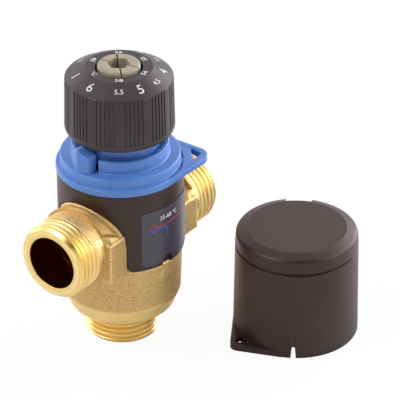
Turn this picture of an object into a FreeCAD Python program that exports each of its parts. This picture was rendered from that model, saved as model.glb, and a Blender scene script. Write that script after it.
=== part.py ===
"""Three-way mixing valve for tap water, with its setting knob and its loose protective cap.

The cold inlet is the bottom port, the hot inlet is the +X port and the mixed outlet is the -X
port. All three carry the same external pipe thread, drawn here at its crest diameter. The origin
is the centre of the bottom port's end face, +Z runs up the spindle, and the label faces -Y.
All sizes are in millimetres and all angles in degrees, counted counter-clockwise from +X.
"""
import FreeCAD, Part
import math
import os

V = FreeCAD.Vector
X_AXIS = V(1, 0, 0)
Y_AXIS = V(0, 1, 0)
Z_AXIS = V(0, 0, 1)
ORIGIN = V(0, 0, 0)
MELT = 0.01                 # depth by which fused features run into each other

# ---- driving dimensions: body casting -------------------------------------------------------
port_to_port = 76.6         # end face to end face of the two side ports
port_axis_z = 44.4          # height of the mixed outlet's axis
hot_axis_z = 39.1           # height of the hot inlet's axis
thread_r = 13.22            # crest radius of the pipe thread
thread_len = 10.3           # threaded length of a side port
bottom_thread_len = 9.6     # threaded length of the bottom port
thread_chamfer = 1.0
port_bore_r = 9.35
relief_r = 12.3             # thread run-out groove over the bottom port
relief_len = 2.1
shoulder_r = 18.2           # turned shoulder above the bottom port, and its cone
cone_top_r = 20.3
cone_h = 5.3
barrel_ledge = 1.2          # width of the ledge on which the sleeve stands
barrel_draft = 0.6          # by how much the cast barrel narrows downwards
sleeve_seat_z = 34.6        # ledge on which the sleeve stands
barrel_top_r = 19.9         # barrel inside the sleeve
body_top_z = 62.0
edge_break = 0.5

boss_r = 14.6               # arched boss around each side port, and half its width
mixed_pad_z = (34.4, 49.4)  # flat pads beside the mixed outlet
hot_pad_z = (33.0, 45.7)    # flat pads beside the hot inlet
pad_front_x = 24.5
plate_proud = 0.1           # how far the arched plate stands before the sleeve
neck_r = 12.7               # neck between the port's collar and the boss
collar_r = 12.9             # plain collar behind a side port's thread
collar_x = 24.9
flare_x = 19.1              # where the neck's flare reaches the boss
flare_rise = 2.6
hood_front_x = 26.8         # cast hood over the neck
hood_len = 2.0
hood_corner_rise = 8.6      # height of the hood's corner above the port's axis
rib_rise = 0.1              # height of the sloping rib above the pads, at the plate
rib_plate_x = 17.3
mark_r = 1.9                # plain raised disc on the barrel
mark_h = 0.35
mark_z = 30.0
mark_angle = -96.0

# ---- driving dimensions: waterways -----------------------------------------------------------
chamber_r = 14.0            # mixing chamber and bonnet thread
chamber_low_z = 38.0
shuttle_bore_r = 10.55
shuttle_bore_low_z = 22.5
cold_ring_r = 12.6          # ring-shaped cold gallery above the shuttle's seal
cold_ring_low_z = 33.0
hot_ring_r = 13.0           # ring-shaped hot gallery below the shuttle's seal
hot_ring_low_z = 23.0
hot_ring_top_z = 27.5
duct_angle = 50.0           # angle that each upright duct takes up in plan
cold_duct_r = (15.0, 18.2)
cold_duct_low_z = 16.8
cold_duct_top_z = 37.0
cold_floor_z = 19.8         # roof of the bottom port's bore
hot_duct_r = (15.8, 19.0)
hot_duct_rise = 1.6         # top of the hot duct above the port's axis
hot_bore_end_x = 16.2       # inner end of the hot port's bore
mixed_bore_end_x = 17.0
mixed_window_r = 6.6
mixed_window_z = 47.0
seat_recess_depth = 0.8

# ---- driving dimensions: seats, shuttle and sensing element ------------------------------------
hot_seat_r = (8.0, 10.3)
hot_seat_rise = 0.5         # how far the seat stands above the bore's floor
stroke_gap = 1.5            # rest gap between the shuttle and each seat
shuttle_wall = 1.7
shuttle_clear = 0.08        # radial clearance of the shuttle's skirt
seal_clear = 0.03           # radial clearance of the moving seals
seal_side = 0.15            # axial clearance at each side of a seal
spider_h = 3.0
spider_arm = 2.4
hub_r = 6.7
bulb_r = 4.4
bulb_len = 11.0
hub_clear = 0.15
element_collar_r = 6.2
element_collar_h = 3.0
element_guide_r = 3.2
element_guide_h = 3.7
pin_r = 1.5
pin_clear = 0.06
pin_depth = 4.5             # rest depth of the pin in the element's guide
pin_spare = 7.0             # empty bore below the pin at rest
return_spring_r = 6.6
return_spring_wire = 1.1
return_spring_turns = 4.5
cage_wall = 4.3
cage_ring_low_h = 2.2
cage_ring_top_h = 2.5
cage_clear = 0.1
cage_window = 15.0

# ---- driving dimensions: bonnet, spindle and setting nut ---------------------------------------
bonnet_low_z = 54.0
bonnet_hex = 30.0
bonnet_hex_h = 5.6
bonnet_neck_r = 12.15
bonnet_top_z = 78.0
nut_bore_r = 9.0
nut_bore_top_z = 67.1
nut_clear = 0.08
key_w = 3.0
key_depth = 1.2
spindle_r = 5.0
spindle_clear = 0.06
spindle_collar_r = 6.4
spindle_collar_h = 1.8
spindle_low_z = 54.5
hex_low_z = 82.0
hex_top_z = 98.5
spindle_hex = 6.4
nut_low_z = 47.5
nut_len = 15.5
nut_thread_h = 6.0
nut_cup_r = 7.3
retainer_h = 0.8
retainer_bore_r = 4.4
plunger_h = 2.7
plunger_clear = 0.15
overload_spring_r = 6.3
overload_spring_wire = 1.0
overload_spring_turns = 3.0
o_ring_wire = 0.7
circlip_h = 0.9
circlip_r = 7.2
circlip_mouth = 4.8
circlip_seat = 0.8          # depth of the clip's groove in the spindle
seal_spacing = 4.0          # distance between the spindle's two seals
bonnet_seal_rise = 0.8

# ---- driving dimensions: sleeve, label and index ring ------------------------------------------
sleeve_clear = 0.15
sleeve_wall = 1.75
sleeve_top_z = 64.7
sleeve_lip_bore_r = 18.0
arch_clear = 0.4            # gap between the sleeve's arch and the boss
arch_corner_r = 2.0
dimple_r = 2.4              # blind dimple at the lower edge of the label
dimple_z = 36.1
dimple_angle = -96.0
dimple_depth = 1.2
label_half_angle = 34.0
label_z = (36.2, 57.3)
label_thick = 0.25
label_corner_r = 1.5

ring_overhang = 0.3         # how far the ring's flange overhangs the sleeve
ring_flange_h = 2.4
ring_step_r = 20.6
ring_step_top_z = 70.5
ring_wall_r = 16.7
ring_wall_top_z = 75.2
ring_rim = 1.5
ring_groove_depth = 1.8
ring_collar_r = 13.8
ring_collar_top_z = 81.6
ring_skin = 1.6
ring_bore_clear = 0.06
ring_gap = (178.0, 192.0)   # angles between which the ring's wall is open
ring_key_w = 8.0            # width of the ring's two keys on the bonnet's flats
pointer_angle = 173.0
pointer_half_w = 4.1
pointer_side_r = 19.0
pointer_apex_z = 79.0
pointer_shoulder_z = 76.4
lug_angle = -45.5
lug_tip_r = 5.0
lug_reach = 24.9            # distance of the lug's tip centre from the valve's axis
lug_hole_half_w = 4.2
lug_hole_r = (24.5, 27.7)

# ---- driving dimensions: knob and its insert ---------------------------------------------------
knob_r = 18.8
knob_shoulder_r = 18.4
knob_low_r = 18.4
knob_low_z = 80.1
knob_widest_z = 81.2
knob_shoulder_z = 99.4
knob_flat_r = 11.5
knob_top_z = 103.0
knob_wall = 1.8
knob_hole_r = 8.07
knob_hole_depth = 3.5
hub_wall = 1.9
groove_groups = 12
grooves_per_group = 5
groove_pitch = 4.5          # angle between neighbouring grooves of a group
groove_low_z = 82.4
groove_w = 0.62
groove_depth = 0.5
view_angle = 218.2          # the knob's pattern is counted from this direction
group_offset = 15.0
insert_r = 7.3
insert_top_z = 104.2
insert_flange_r = 9.0
insert_flange_h = 2.0
insert_slot_w = 0.55
insert_slot_depth = 9.0
insert_hex_clear = 0.1
insert_slot_angles = (44.2, 103.2)
stop_rib_angle = 15.0
stop_tab_angle = 28.0
stop_margin = 1.0
stop_rest_angle = 60.0
stop_clear = 0.3

# ---- driving dimensions: protective cap ---------------------------------------------------------
cap_x = 35.9                # where the cap stands beside the valve
cap_y = -48.9
cap_low_r = 21.9
cap_h = 40.2
cap_band_z = 33.7
cap_band_r = 21.4
cap_shoulder_r = 21.1
cap_band_w = 1.2
cap_band_depth = 0.6
cap_shoulder_z = 38.9
cap_disc_r = 17.2
cap_wall = 1.5
cap_roof = 2.0
cap_rim_h = 5.0
cap_rim_clear = 0.2
cap_peg_clear = 0.25
cap_peg_h = 6.0
cap_slot_low_w = 2.0
cap_slot_top_w = 1.2
cap_slot_h = 4.7
cap_slot_angle = 213.0
cap_notch_w = 9.0
cap_notch_depth = 2.6
cap_lug_angle = 162.0
cap_lug_h = 2.3
cap_lug_tip_r = 3.0
cap_lug_reach = 24.6
cap_lug_hole_half_w = 2.6


# ---- shape helpers -------------------------------------------------------------------------------
def polar(radius, angle, z=0.0):
    """Point at a radius and an angle about the Z axis."""
    turn = math.radians(angle)
    return V(radius * math.cos(turn), radius * math.sin(turn), z)


def face_of(points):
    """Flat face inside a closed polygon."""
    return Part.Face(Part.makePolygon(points + [points[0]]))


def revolved(profile):
    """Turn a closed (radius, height) profile about the Z axis."""
    face = face_of([V(radius, 0, z) for radius, z in profile])
    return face.revolve(ORIGIN, Z_AXIS, 360)


def cylinder(radius, z0, z1):
    return Part.makeCylinder(radius, z1 - z0, V(0, 0, z0), Z_AXIS)


def tube(outer_r, inner_r, z0, z1):
    return cylinder(outer_r, z0, z1).cut(cylinder(inner_r, z0 - 1, z1 + 1))


def side_cylinder(radius, x0, x1, z):
    """Cylinder along the X axis at a given height."""
    return Part.makeCylinder(radius, x1 - x0, V(x0, 0, z), X_AXIS)


def box(x0, x1, y0, y1, z0, z1):
    return Part.makeBox(x1 - x0, y1 - y0, z1 - z0, V(x0, y0, z0))


def turned(shape, angle):
    """Copy of a shape, turned about the Z axis."""
    copy = shape.copy()
    copy.rotate(ORIGIN, Z_AXIS, angle)
    return copy


def sector(inner_r, outer_r, start, end, z0, z1):
    """Part of a tube between two angles."""
    lower = Part.makeCylinder(outer_r, z1 - z0, V(0, 0, z0), Z_AXIS, end - start)
    lower.rotate(ORIGIN, Z_AXIS, start)
    return lower.cut(cylinder(inner_r, z0 - 1, z1 + 1))


def hexagon(across_flats, z0, z1):
    corner_r = across_flats / math.sqrt(3)
    face = face_of([polar(corner_r, 60 * side, z0) for side in range(6)])
    return face.extrude(V(0, 0, z1 - z0))


def o_ring(mean_r, wire_r, z):
    return Part.makeTorus(mean_r, wire_r, V(0, 0, z), Z_AXIS)


def coil_spring(mean_r, wire_d, z0, z1, turns):
    """Round-wire spring with a flat closed ring at each end."""
    wire_r = wire_d / 2
    low_z = z0 + wire_r
    high_z = z1 - wire_r
    start_z = low_z + wire_r / 2
    rise = high_z - low_z - wire_r
    helix = Part.makeHelix(rise / turns, rise, mean_r)
    helix.translate(V(0, 0, start_z))
    section = Part.Wire(Part.makeCircle(wire_r, V(mean_r, 0, start_z), Y_AXIS))
    coil = Part.Wire(helix).makePipeShell([section], True, True)
    return coil.fuse([o_ring(mean_r, wire_r, low_z), o_ring(mean_r, wire_r, high_z)])


def arch(half_w, low_z, x0, x1):
    """Prism along X with straight upright sides and a round top about the outlet's axis."""
    low = V(x0, -half_w, low_z)
    spring_line = V(x0, -half_w, port_axis_z)
    crown = V(x0, 0, port_axis_z + half_w)
    other_line = V(x0, half_w, port_axis_z)
    other_low = V(x0, half_w, low_z)
    edges = [Part.makeLine(low, spring_line), Part.Arc(spring_line, crown, other_line).toShape(),
             Part.makeLine(other_line, other_low), Part.makeLine(other_low, low)]
    return Part.Face(Part.Wire(edges)).extrude(V(x1 - x0, 0, 0))


def seal_lug(base_r, tip_r, reach, angle, z0, z1, hole_r, hole_half_w):
    """Eye for a sealing wire: a tapering tab with a rounded tip and a three-cornered hole."""
    spread = math.degrees(math.acos((base_r - tip_r) / reach))
    tip = polar(reach, angle, z0)
    corners = [polar(base_r, angle - spread, z0), tip + polar(tip_r, angle - spread),
               tip + polar(tip_r, angle + spread), polar(base_r, angle + spread, z0)]
    tab = face_of([V(0, 0, z0)] + corners).extrude(V(0, 0, z1 - z0))
    tab = tab.fuse(Part.makeCylinder(tip_r, z1 - z0, tip, Z_AXIS))
    base = polar(hole_r[0], angle, z0 - 1)
    across = polar(hole_half_w, angle + 90)
    hole = face_of([base - across, base + across, polar(hole_r[1], angle, z0 - 1)])
    hole = hole.extrude(V(0, 0, z1 - z0 + 2))
    return tab, hole


# ---- derived values --------------------------------------------------------------------------------
port_x = port_to_port / 2
barrel_r = barrel_top_r + barrel_ledge
sleeve_r = barrel_top_r + sleeve_clear + sleeve_wall
plate_r = sleeve_r + plate_proud
ring_flange_r = sleeve_r + ring_overhang
shoulder_z = bottom_thread_len + relief_len
cone_top_z = shoulder_z + cone_h
hot_duct_top_z = hot_axis_z + hot_duct_rise
shuttle_r = shuttle_bore_r - shuttle_clear
hot_seat_z = shuttle_bore_low_z + hot_seat_rise
shuttle_low_z = hot_seat_z + stroke_gap
shuttle_top_z = chamber_low_z - stroke_gap
spider_low_z = shuttle_top_z - spider_h
collar_top_z = shuttle_top_z + element_collar_h
guide_top_z = collar_top_z + element_guide_h
nut_top_z = nut_low_z + nut_len
nut_ceiling_z = nut_top_z - nut_thread_h
plunger_low_z = nut_low_z + retainer_h
ring_low_z = sleeve_top_z
ring_flange_top_z = ring_low_z + ring_flange_h
ring_bore_r = bonnet_neck_r + ring_bore_clear
knob_inner_r = knob_low_r - knob_wall
hub_low_z = hex_low_z + insert_flange_h
seal_low_z = bonnet_low_z + bonnet_seal_rise
seal_high_z = seal_low_z + 2 * (o_ring_wire + seal_side)


# ---- body casting ------------------------------------------------------------------------------------
def boss_outside(axis_z, pad_z):
    """Plate, pads, hood and threaded end of a side port on +X, before any bore is cut."""
    pad_low_z, pad_top_z = pad_z
    boss = arch(boss_r, pad_low_z, 0, pad_front_x)
    boss = boss.fuse(side_cylinder(boss_r, 0, pad_front_x, axis_z))
    # Behind the collar the neck flares out to the boss.
    flare = Part.makeCone(neck_r, boss_r + flare_rise, collar_x - flare_x,
                          V(collar_x, 0, axis_z), V(-1, 0, 0))
    front = box(flare_x, pad_front_x + 1, -plate_r, plate_r, 0, body_top_z).cut(flare)
    pads = box(0, pad_front_x, -boss_r, boss_r, pad_low_z, pad_top_z)
    pads = pads.cut(cylinder(plate_r, 0, body_top_z))
    boss = boss.cut(front).fuse(pads)
    # The hollow between plate and hood is open above the two sloping ribs.
    hood_back_x = hood_front_x - hood_len
    rib_low_z = pad_top_z + rib_rise
    slope = (axis_z + hood_corner_rise - rib_low_z) / (hood_front_x - rib_plate_x)
    low_x = barrel_top_r / 2
    low_z = rib_low_z + slope * (low_x - rib_plate_x)
    back_z = rib_low_z + slope * (hood_back_x - rib_plate_x)
    front_z = rib_low_z + slope * (port_x - rib_plate_x)
    above_ribs = face_of([V(low_x, -plate_r, low_z), V(hood_back_x, -plate_r, back_z),
                          V(hood_back_x, -plate_r, body_top_z), V(low_x, -plate_r, body_top_z)])
    above_ribs = above_ribs.extrude(V(0, 2 * plate_r, 0))
    hollow = above_ribs.cut(cylinder(plate_r, 0, body_top_z + 1))
    hollow = hollow.cut(side_cylinder(neck_r, 0, port_x, axis_z))
    hood = side_cylinder(boss_r, hood_back_x, hood_front_x, axis_z)
    under = face_of([V(low_x, -plate_r, low_z - edge_break), V(port_x, -plate_r, front_z - edge_break),
                     V(port_x, -plate_r, 0), V(low_x, -plate_r, 0)])
    boss = boss.fuse(hood.cut(under.extrude(V(0, 2 * plate_r, 0)))).cut(hollow)
    neck = side_cylinder(neck_r, 0, collar_x + MELT, axis_z)
    collar = side_cylinder(collar_r, collar_x, port_x - thread_len + MELT, axis_z)
    crest = side_cylinder(thread_r, port_x - thread_len, port_x - thread_chamfer, axis_z)
    tip = Part.makeCone(thread_r, thread_r - thread_chamfer, thread_chamfer,
                        V(port_x - thread_chamfer, 0, axis_z), X_AXIS)
    return boss.fuse([neck, collar, crest, tip])


def valve_body():
    """Casting with three threaded ports, cut through by its waterways."""
    barrel = revolved([(0, 0), (thread_r - thread_chamfer, 0), (thread_r, thread_chamfer),
                       (thread_r, bottom_thread_len), (relief_r, bottom_thread_len + edge_break),
                       (relief_r, shoulder_z), (shoulder_r, shoulder_z), (cone_top_r, cone_top_z),
                       (barrel_r - barrel_draft, cone_top_z + edge_break), (barrel_r, sleeve_seat_z),
                       (barrel_top_r, sleeve_seat_z), (barrel_top_r, body_top_z - edge_break),
                       (barrel_top_r - edge_break, body_top_z), (0, body_top_z)])
    hot_boss = boss_outside(hot_axis_z, hot_pad_z)
    mixed_boss = turned(boss_outside(port_axis_z, mixed_pad_z), 180)
    mark = Part.makeCylinder(mark_r, barrel_r, V(0, 0, mark_z), polar(1, mark_angle))
    mark = mark.common(cylinder(barrel_r + mark_h, 0, body_top_z))
    body = barrel.fuse([hot_boss, mixed_boss, mark])

    half = duct_angle / 2
    cold_inlet = cylinder(port_bore_r, -1, cold_floor_z)
    cold_duct = sector(cold_duct_r[0], cold_duct_r[1], 90 - half, 90 + half,
                       cold_duct_low_z, cold_duct_top_z)
    cold_low = sector(0.5, cold_duct_r[1], 90 - half, 90 + half, cold_duct_low_z, cold_floor_z)
    cold_ring = cylinder(cold_ring_r, cold_ring_low_z, chamber_low_z + MELT)
    cold_high = sector(shuttle_bore_r, cold_duct_r[1], 90 - half, 90 + half,
                       cold_ring_low_z, cold_duct_top_z)
    shuttle_bore = cylinder(shuttle_bore_r, shuttle_bore_low_z, chamber_low_z)
    seat_recess = tube(hot_seat_r[1], hot_seat_r[0],
                       shuttle_bore_low_z - seat_recess_depth, shuttle_bore_low_z + MELT)
    hot_ring = cylinder(hot_ring_r, hot_ring_low_z, hot_ring_top_z)
    hot_low = sector(shuttle_bore_r, hot_duct_r[1], -half, half, hot_ring_low_z, hot_ring_top_z)
    hot_duct = sector(hot_duct_r[0], hot_duct_r[1], -half, half, hot_ring_low_z, hot_duct_top_z)
    hot_bore = side_cylinder(port_bore_r, hot_bore_end_x, port_x + 1, hot_axis_z)
    chamber = cylinder(chamber_r, chamber_low_z, body_top_z + 1)
    mixed_bore = side_cylinder(port_bore_r, -port_x - 1, -mixed_bore_end_x, port_axis_z)
    mixed_window = side_cylinder(mixed_window_r, -mixed_bore_end_x - 2, 0, mixed_window_z)
    for waterway in (cold_inlet, cold_duct, cold_low, cold_ring, cold_high, shuttle_bore,
                     seat_recess, hot_ring, hot_low, hot_duct, hot_bore, chamber,
                     mixed_bore, mixed_window):
        body = body.cut(waterway)
    return body.removeSplitter()


# ---- outside of the valve ------------------------------------------------------------------------------
def cover_sleeve():
    """Moulded sleeve around the barrel, arched over both side ports."""
    inner_r = barrel_top_r + sleeve_clear
    low_z = sleeve_seat_z
    shell = tube(sleeve_r, inner_r, low_z, sleeve_top_z)
    lip = tube(sleeve_r, sleeve_lip_bore_r, body_top_z, sleeve_top_z)
    shell = shell.fuse(lip)
    arch_r = boss_r + arch_clear
    shell = shell.cut(arch(arch_r, low_z - 1, -sleeve_r - 1, sleeve_r + 1))
    for side in (-1, 1):
        for along in (-1, 1):
            corner = box(-sleeve_r, sleeve_r, 0, arch_corner_r, low_z - 1, low_z + arch_corner_r)
            corner.translate(V(0, arch_r, 0))
            corner = corner.cut(Part.makeCylinder(arch_corner_r, 2 * sleeve_r,
                                                  V(-sleeve_r, arch_r + arch_corner_r,
                                                    low_z + arch_corner_r), X_AXIS))
            if side < 0:
                corner = corner.mirror(ORIGIN, Y_AXIS)
            keep = box(0, sleeve_r + 1, -30, 30, 0, 90)
            if along < 0:
                keep = keep.mirror(ORIGIN, X_AXIS)
            shell = shell.cut(corner.common(keep))
    return shell.cut(label_dimple())


def label_dimple():
    """Space of the blind round dimple at the label's lower edge."""
    drill = Part.makeCylinder(dimple_r, sleeve_r + 1, V(0, 0, dimple_z), polar(1, dimple_angle))
    return drill.cut(cylinder(sleeve_r - dimple_depth, 0, body_top_z))


def flow_label():
    """Thin label that follows the sleeve, with rounded corners."""
    low_z, high_z = label_z
    film = sector(sleeve_r, sleeve_r + label_thick, 270 - label_half_angle,
                  270 + label_half_angle, low_z, high_z)
    half_w = sleeve_r * math.sin(math.radians(label_half_angle))
    outline = box(-half_w, half_w, -sleeve_r - 2, 0, low_z, high_z)
    corners = [edge for edge in outline.Edges
               if abs(edge.Vertexes[0].Y - edge.Vertexes[1].Y) > sleeve_r / 2]
    outline = outline.makeFillet(label_corner_r, corners)
    return film.common(outline).cut(label_dimple())


def index_ring():
    """Stepped ring with the pointer and the sealing lug, hollow underneath."""
    flange_top = ring_flange_top_z
    groove_z = ring_wall_top_z - ring_groove_depth
    rim_r = ring_wall_r - ring_rim
    body = revolved([(ring_step_r - ring_skin, ring_low_z), (ring_flange_r, ring_low_z),
                     (ring_flange_r, flange_top), (ring_step_r, flange_top),
                     (ring_step_r, ring_step_top_z), (ring_wall_r, ring_step_top_z),
                     (ring_wall_r, ring_wall_top_z), (rim_r, ring_wall_top_z),
                     (rim_r, groove_z), (ring_collar_r, groove_z),
                     (ring_collar_r, ring_collar_top_z), (ring_bore_r, ring_collar_top_z),
                     (ring_bore_r, groove_z - ring_skin), (rim_r, groove_z - ring_skin),
                     (rim_r, ring_step_top_z - ring_skin),
                     (ring_step_r - ring_skin, ring_step_top_z - ring_skin)])
    body = body.cut(sector(ring_collar_r, ring_wall_r + 1, ring_gap[0], ring_gap[1],
                           ring_step_top_z, ring_wall_top_z + 1))
    # The pointer is a folded front face under a gabled top.
    plan = face_of([V(rim_r, -pointer_half_w, ring_step_top_z - MELT),
                    V(pointer_side_r, -pointer_half_w, ring_step_top_z - MELT),
                    V(ring_step_r, 0, ring_step_top_z - MELT),
                    V(pointer_side_r, pointer_half_w, ring_step_top_z - MELT),
                    V(rim_r, pointer_half_w, ring_step_top_z - MELT)])
    plan = plan.extrude(V(0, 0, pointer_apex_z - ring_step_top_z))
    front = face_of([V(0, -pointer_half_w - 1, ring_step_top_z - 1),
                     V(0, -pointer_half_w - 1, pointer_shoulder_z), V(0, 0, pointer_apex_z),
                     V(0, pointer_half_w + 1, pointer_shoulder_z),
                     V(0, pointer_half_w + 1, ring_step_top_z - 1)])
    pointer = turned(plan.common(front.extrude(V(ring_flange_r, 0, 0))), pointer_angle)
    tab, hole = seal_lug(ring_flange_r, lug_tip_r, lug_reach, lug_angle,
                         ring_low_z, flange_top, lug_hole_r, lug_hole_half_w)
    tab = tab.cut(cylinder(ring_step_r - ring_skin / 2, 0, ring_collar_top_z))
    stop_angle = stop_rest_angle + stop_rib_angle / 2 + stop_margin
    stop = sector(ring_bore_r + ring_skin / 2, knob_inner_r - stop_clear, stop_angle,
                  stop_angle + stop_tab_angle, knob_low_z, ring_collar_top_z)
    body = body.fuse([pointer, tab, stop]).cut(hole)
    for side in (0, 180):
        key = box(bonnet_hex / 2 + ring_skin / 4, ring_step_r - ring_skin + MELT,
                  -ring_key_w / 2, ring_key_w / 2,
                  ring_low_z, ring_step_top_z - ring_skin + MELT)
        body = body.fuse(turned(key, side))
    return body.removeSplitter()


# ---- knob ---------------------------------------------------------------------------------------------
def adjusting_knob():
    """Cup-shaped knob with grooved grip, coned dial and a hub for the insert."""
    hub_outer_r = insert_r + hub_wall
    roof_z = knob_top_z - knob_wall - edge_break
    cone_fall = (knob_top_z - knob_shoulder_z) / (knob_shoulder_r - knob_flat_r)
    skirt_r = knob_shoulder_r - knob_wall
    skirt_z = roof_z - cone_fall * (skirt_r - knob_flat_r)
    hole_low_z = knob_top_z - knob_hole_depth
    knob = revolved([(knob_inner_r, knob_low_z), (knob_low_r, knob_low_z),
                     (knob_r, knob_widest_z), (knob_shoulder_r, knob_shoulder_z),
                     (knob_flat_r, knob_top_z), (knob_hole_r, knob_top_z),
                     (knob_hole_r, hole_low_z), (insert_r, hole_low_z), (insert_r, hub_low_z),
                     (hub_outer_r, hub_low_z), (hub_outer_r, roof_z), (knob_flat_r, roof_z),
                     (skirt_r, skirt_z)])
    # Each groove is a thin slab that leans with the draft of the grip.
    lean = math.degrees(math.atan((knob_r - knob_shoulder_r) / (knob_shoulder_z - knob_widest_z)))
    slab = box(knob_r - groove_depth, knob_r + 2, -groove_w / 2, groove_w / 2,
               groove_low_z, knob_shoulder_z + 1)
    slab.rotate(V(knob_r, 0, knob_widest_z), Y_AXIS, -lean)
    slabs = []
    for group in range(groove_groups):
        group_angle = view_angle + group_offset + group * 360 / groove_groups
        for index in range(grooves_per_group):
            step = index - (grooves_per_group - 1) / 2
            slabs.append(turned(slab, group_angle + step * groove_pitch))
    knob = knob.cut(slabs)
    rib = sector(ring_collar_r + stop_clear, knob_low_r - knob_wall / 2,
                 stop_rest_angle - stop_rib_angle / 2, stop_rest_angle + stop_rib_angle / 2,
                 knob_low_z, groove_low_z)
    return knob.fuse(rib)


def collet_insert():
    """Slotted insert that grips the hexagon of the spindle and the knob's hub."""
    insert = cylinder(insert_r, hex_low_z, insert_top_z)
    insert = insert.fuse(cylinder(insert_flange_r, hex_low_z, hub_low_z))
    insert = insert.cut(hexagon(spindle_hex + 2 * insert_hex_clear, hex_low_z - 1, insert_top_z + 1))
    for slot_angle in insert_slot_angles:
        slot = box(-insert_r - 1, insert_r + 1, -insert_slot_w / 2, insert_slot_w / 2,
                   insert_top_z - insert_slot_depth, insert_top_z + 1)
        insert = insert.cut(turned(slot, slot_angle))
    return insert


# ---- bonnet and setting mechanism ---------------------------------------------------------------------
def bonnet():
    """Headwork screwed into the body, with keyways for the setting nut."""
    head_top_z = body_top_z + bonnet_hex_h
    skirt = cylinder(chamber_r, bonnet_low_z, body_top_z)
    head = hexagon(bonnet_hex, body_top_z, head_top_z)
    neck = cylinder(bonnet_neck_r, head_top_z, bonnet_top_z)
    shape = skirt.fuse([turned(head, 30), neck])
    shape = shape.cut(cylinder(nut_bore_r, bonnet_low_z - 1, nut_bore_top_z))
    shape = shape.cut(cylinder(spindle_r + spindle_clear, bonnet_low_z, bonnet_top_z + 1))
    keyway = box(-nut_bore_r - key_depth, nut_bore_r + key_depth, -key_w / 2, key_w / 2,
                 bonnet_low_z - 1, nut_bore_top_z)
    shape = shape.cut(keyway)
    return shape.cut(tube(chamber_r + 1, chamber_r - 2 * o_ring_wire, seal_low_z, seal_high_z))


def bonnet_o_ring():
    return o_ring(chamber_r - o_ring_wire, o_ring_wire, (seal_low_z + seal_high_z) / 2)


def spindle_seals():
    """Heights of the two seal grooves in the spindle."""
    land = (nut_bore_top_z + bonnet_top_z) / 2
    return (land - seal_spacing / 2, land + seal_spacing / 2)


def spindle():
    """Turned spindle: screw, thrust collar, two seal grooves, clip groove and hexagon."""
    shaft = cylinder(spindle_r - spindle_clear, spindle_low_z, hex_low_z)
    shaft = cylinder(spindle_r, nut_bore_top_z - spindle_collar_h, hex_low_z).fuse(shaft)
    collar = cylinder(spindle_collar_r, nut_bore_top_z - spindle_collar_h, nut_bore_top_z)
    shaft = shaft.fuse([collar, hexagon(spindle_hex, hex_low_z, hex_top_z)])
    for z in spindle_seals():
        shaft = shaft.cut(tube(spindle_r + 1, seal_groove_r(), z - o_ring_wire - seal_side,
                               z + o_ring_wire + seal_side))
    return shaft.cut(tube(spindle_r + 1, spindle_r - circlip_seat, bonnet_top_z, bonnet_top_z + circlip_h))


def seal_groove_r():
    """Bottom radius of a spindle seal groove."""
    return spindle_r + spindle_clear - seal_clear - 2 * o_ring_wire


def spindle_o_ring(z):
    return o_ring(spindle_r + spindle_clear - seal_clear - o_ring_wire, o_ring_wire, z)


def spindle_circlip():
    """Open spring clip in the spindle's groove, on top of the bonnet."""
    clip = tube(circlip_r, spindle_r - circlip_seat, bonnet_top_z, bonnet_top_z + circlip_h)
    mouth = box(0, circlip_r + 1, -circlip_mouth / 2, circlip_mouth / 2,
                bonnet_top_z - 1, bonnet_top_z + circlip_h + 1)
    return clip.cut(mouth)


def setting_nut():
    """Keyed nut that rises and falls on the spindle's screw and holds the overload spring."""
    outer_r = nut_bore_r - nut_clear
    nut = cylinder(outer_r, nut_low_z, nut_top_z)
    keys = box(-nut_bore_r - key_depth + nut_clear * 2, nut_bore_r + key_depth - nut_clear * 2,
               -key_w / 2 + nut_clear, key_w / 2 - nut_clear, nut_ceiling_z + 1, nut_top_z)
    nut = nut.fuse(keys)
    nut = nut.cut(cylinder(spindle_r, nut_low_z - 1, nut_top_z + 1))
    return nut.cut(cylinder(nut_cup_r, nut_low_z - 1, nut_ceiling_z))


def plunger_retainer():
    """Ring pressed into the nut's mouth to hold the plunger in."""
    return tube(nut_cup_r, retainer_bore_r, nut_low_z, plunger_low_z)


def overload_plunger():
    """Cup on which the element's pin pushes."""
    outer_r = nut_cup_r - plunger_clear
    plunger = cylinder(outer_r, plunger_low_z, plunger_low_z + plunger_h)
    pocket_r = overload_spring_r - overload_spring_wire / 2 - plunger_clear
    step = tube(outer_r + 1, pocket_r, plunger_low_z + plunger_h / 2, plunger_low_z + plunger_h + 1)
    return plunger.cut(step)


def overload_spring():
    return coil_spring(overload_spring_r, overload_spring_wire, plunger_low_z + plunger_h / 2,
                       nut_ceiling_z, overload_spring_turns)


# ---- sensing element, shuttle and seats ------------------------------------------------------------------
def element_pin():
    return cylinder(pin_r, guide_top_z - pin_depth, plunger_low_z)


def sensing_element():
    """Sealed bulb with a collar and a guide for its pin."""
    profile = [(0, shuttle_top_z - bulb_len), (bulb_r - 1, shuttle_top_z - bulb_len),
               (bulb_r, shuttle_top_z - bulb_len + 1), (bulb_r, shuttle_top_z),
               (element_collar_r, shuttle_top_z), (element_collar_r, collar_top_z - edge_break),
               (element_collar_r - edge_break, collar_top_z), (element_guide_r, collar_top_z),
               (element_guide_r, guide_top_z), (0, guide_top_z)]
    bore = cylinder(pin_r + pin_clear, guide_top_z - pin_depth - pin_spare, guide_top_z + 1)
    return revolved(profile).cut(bore)


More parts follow.
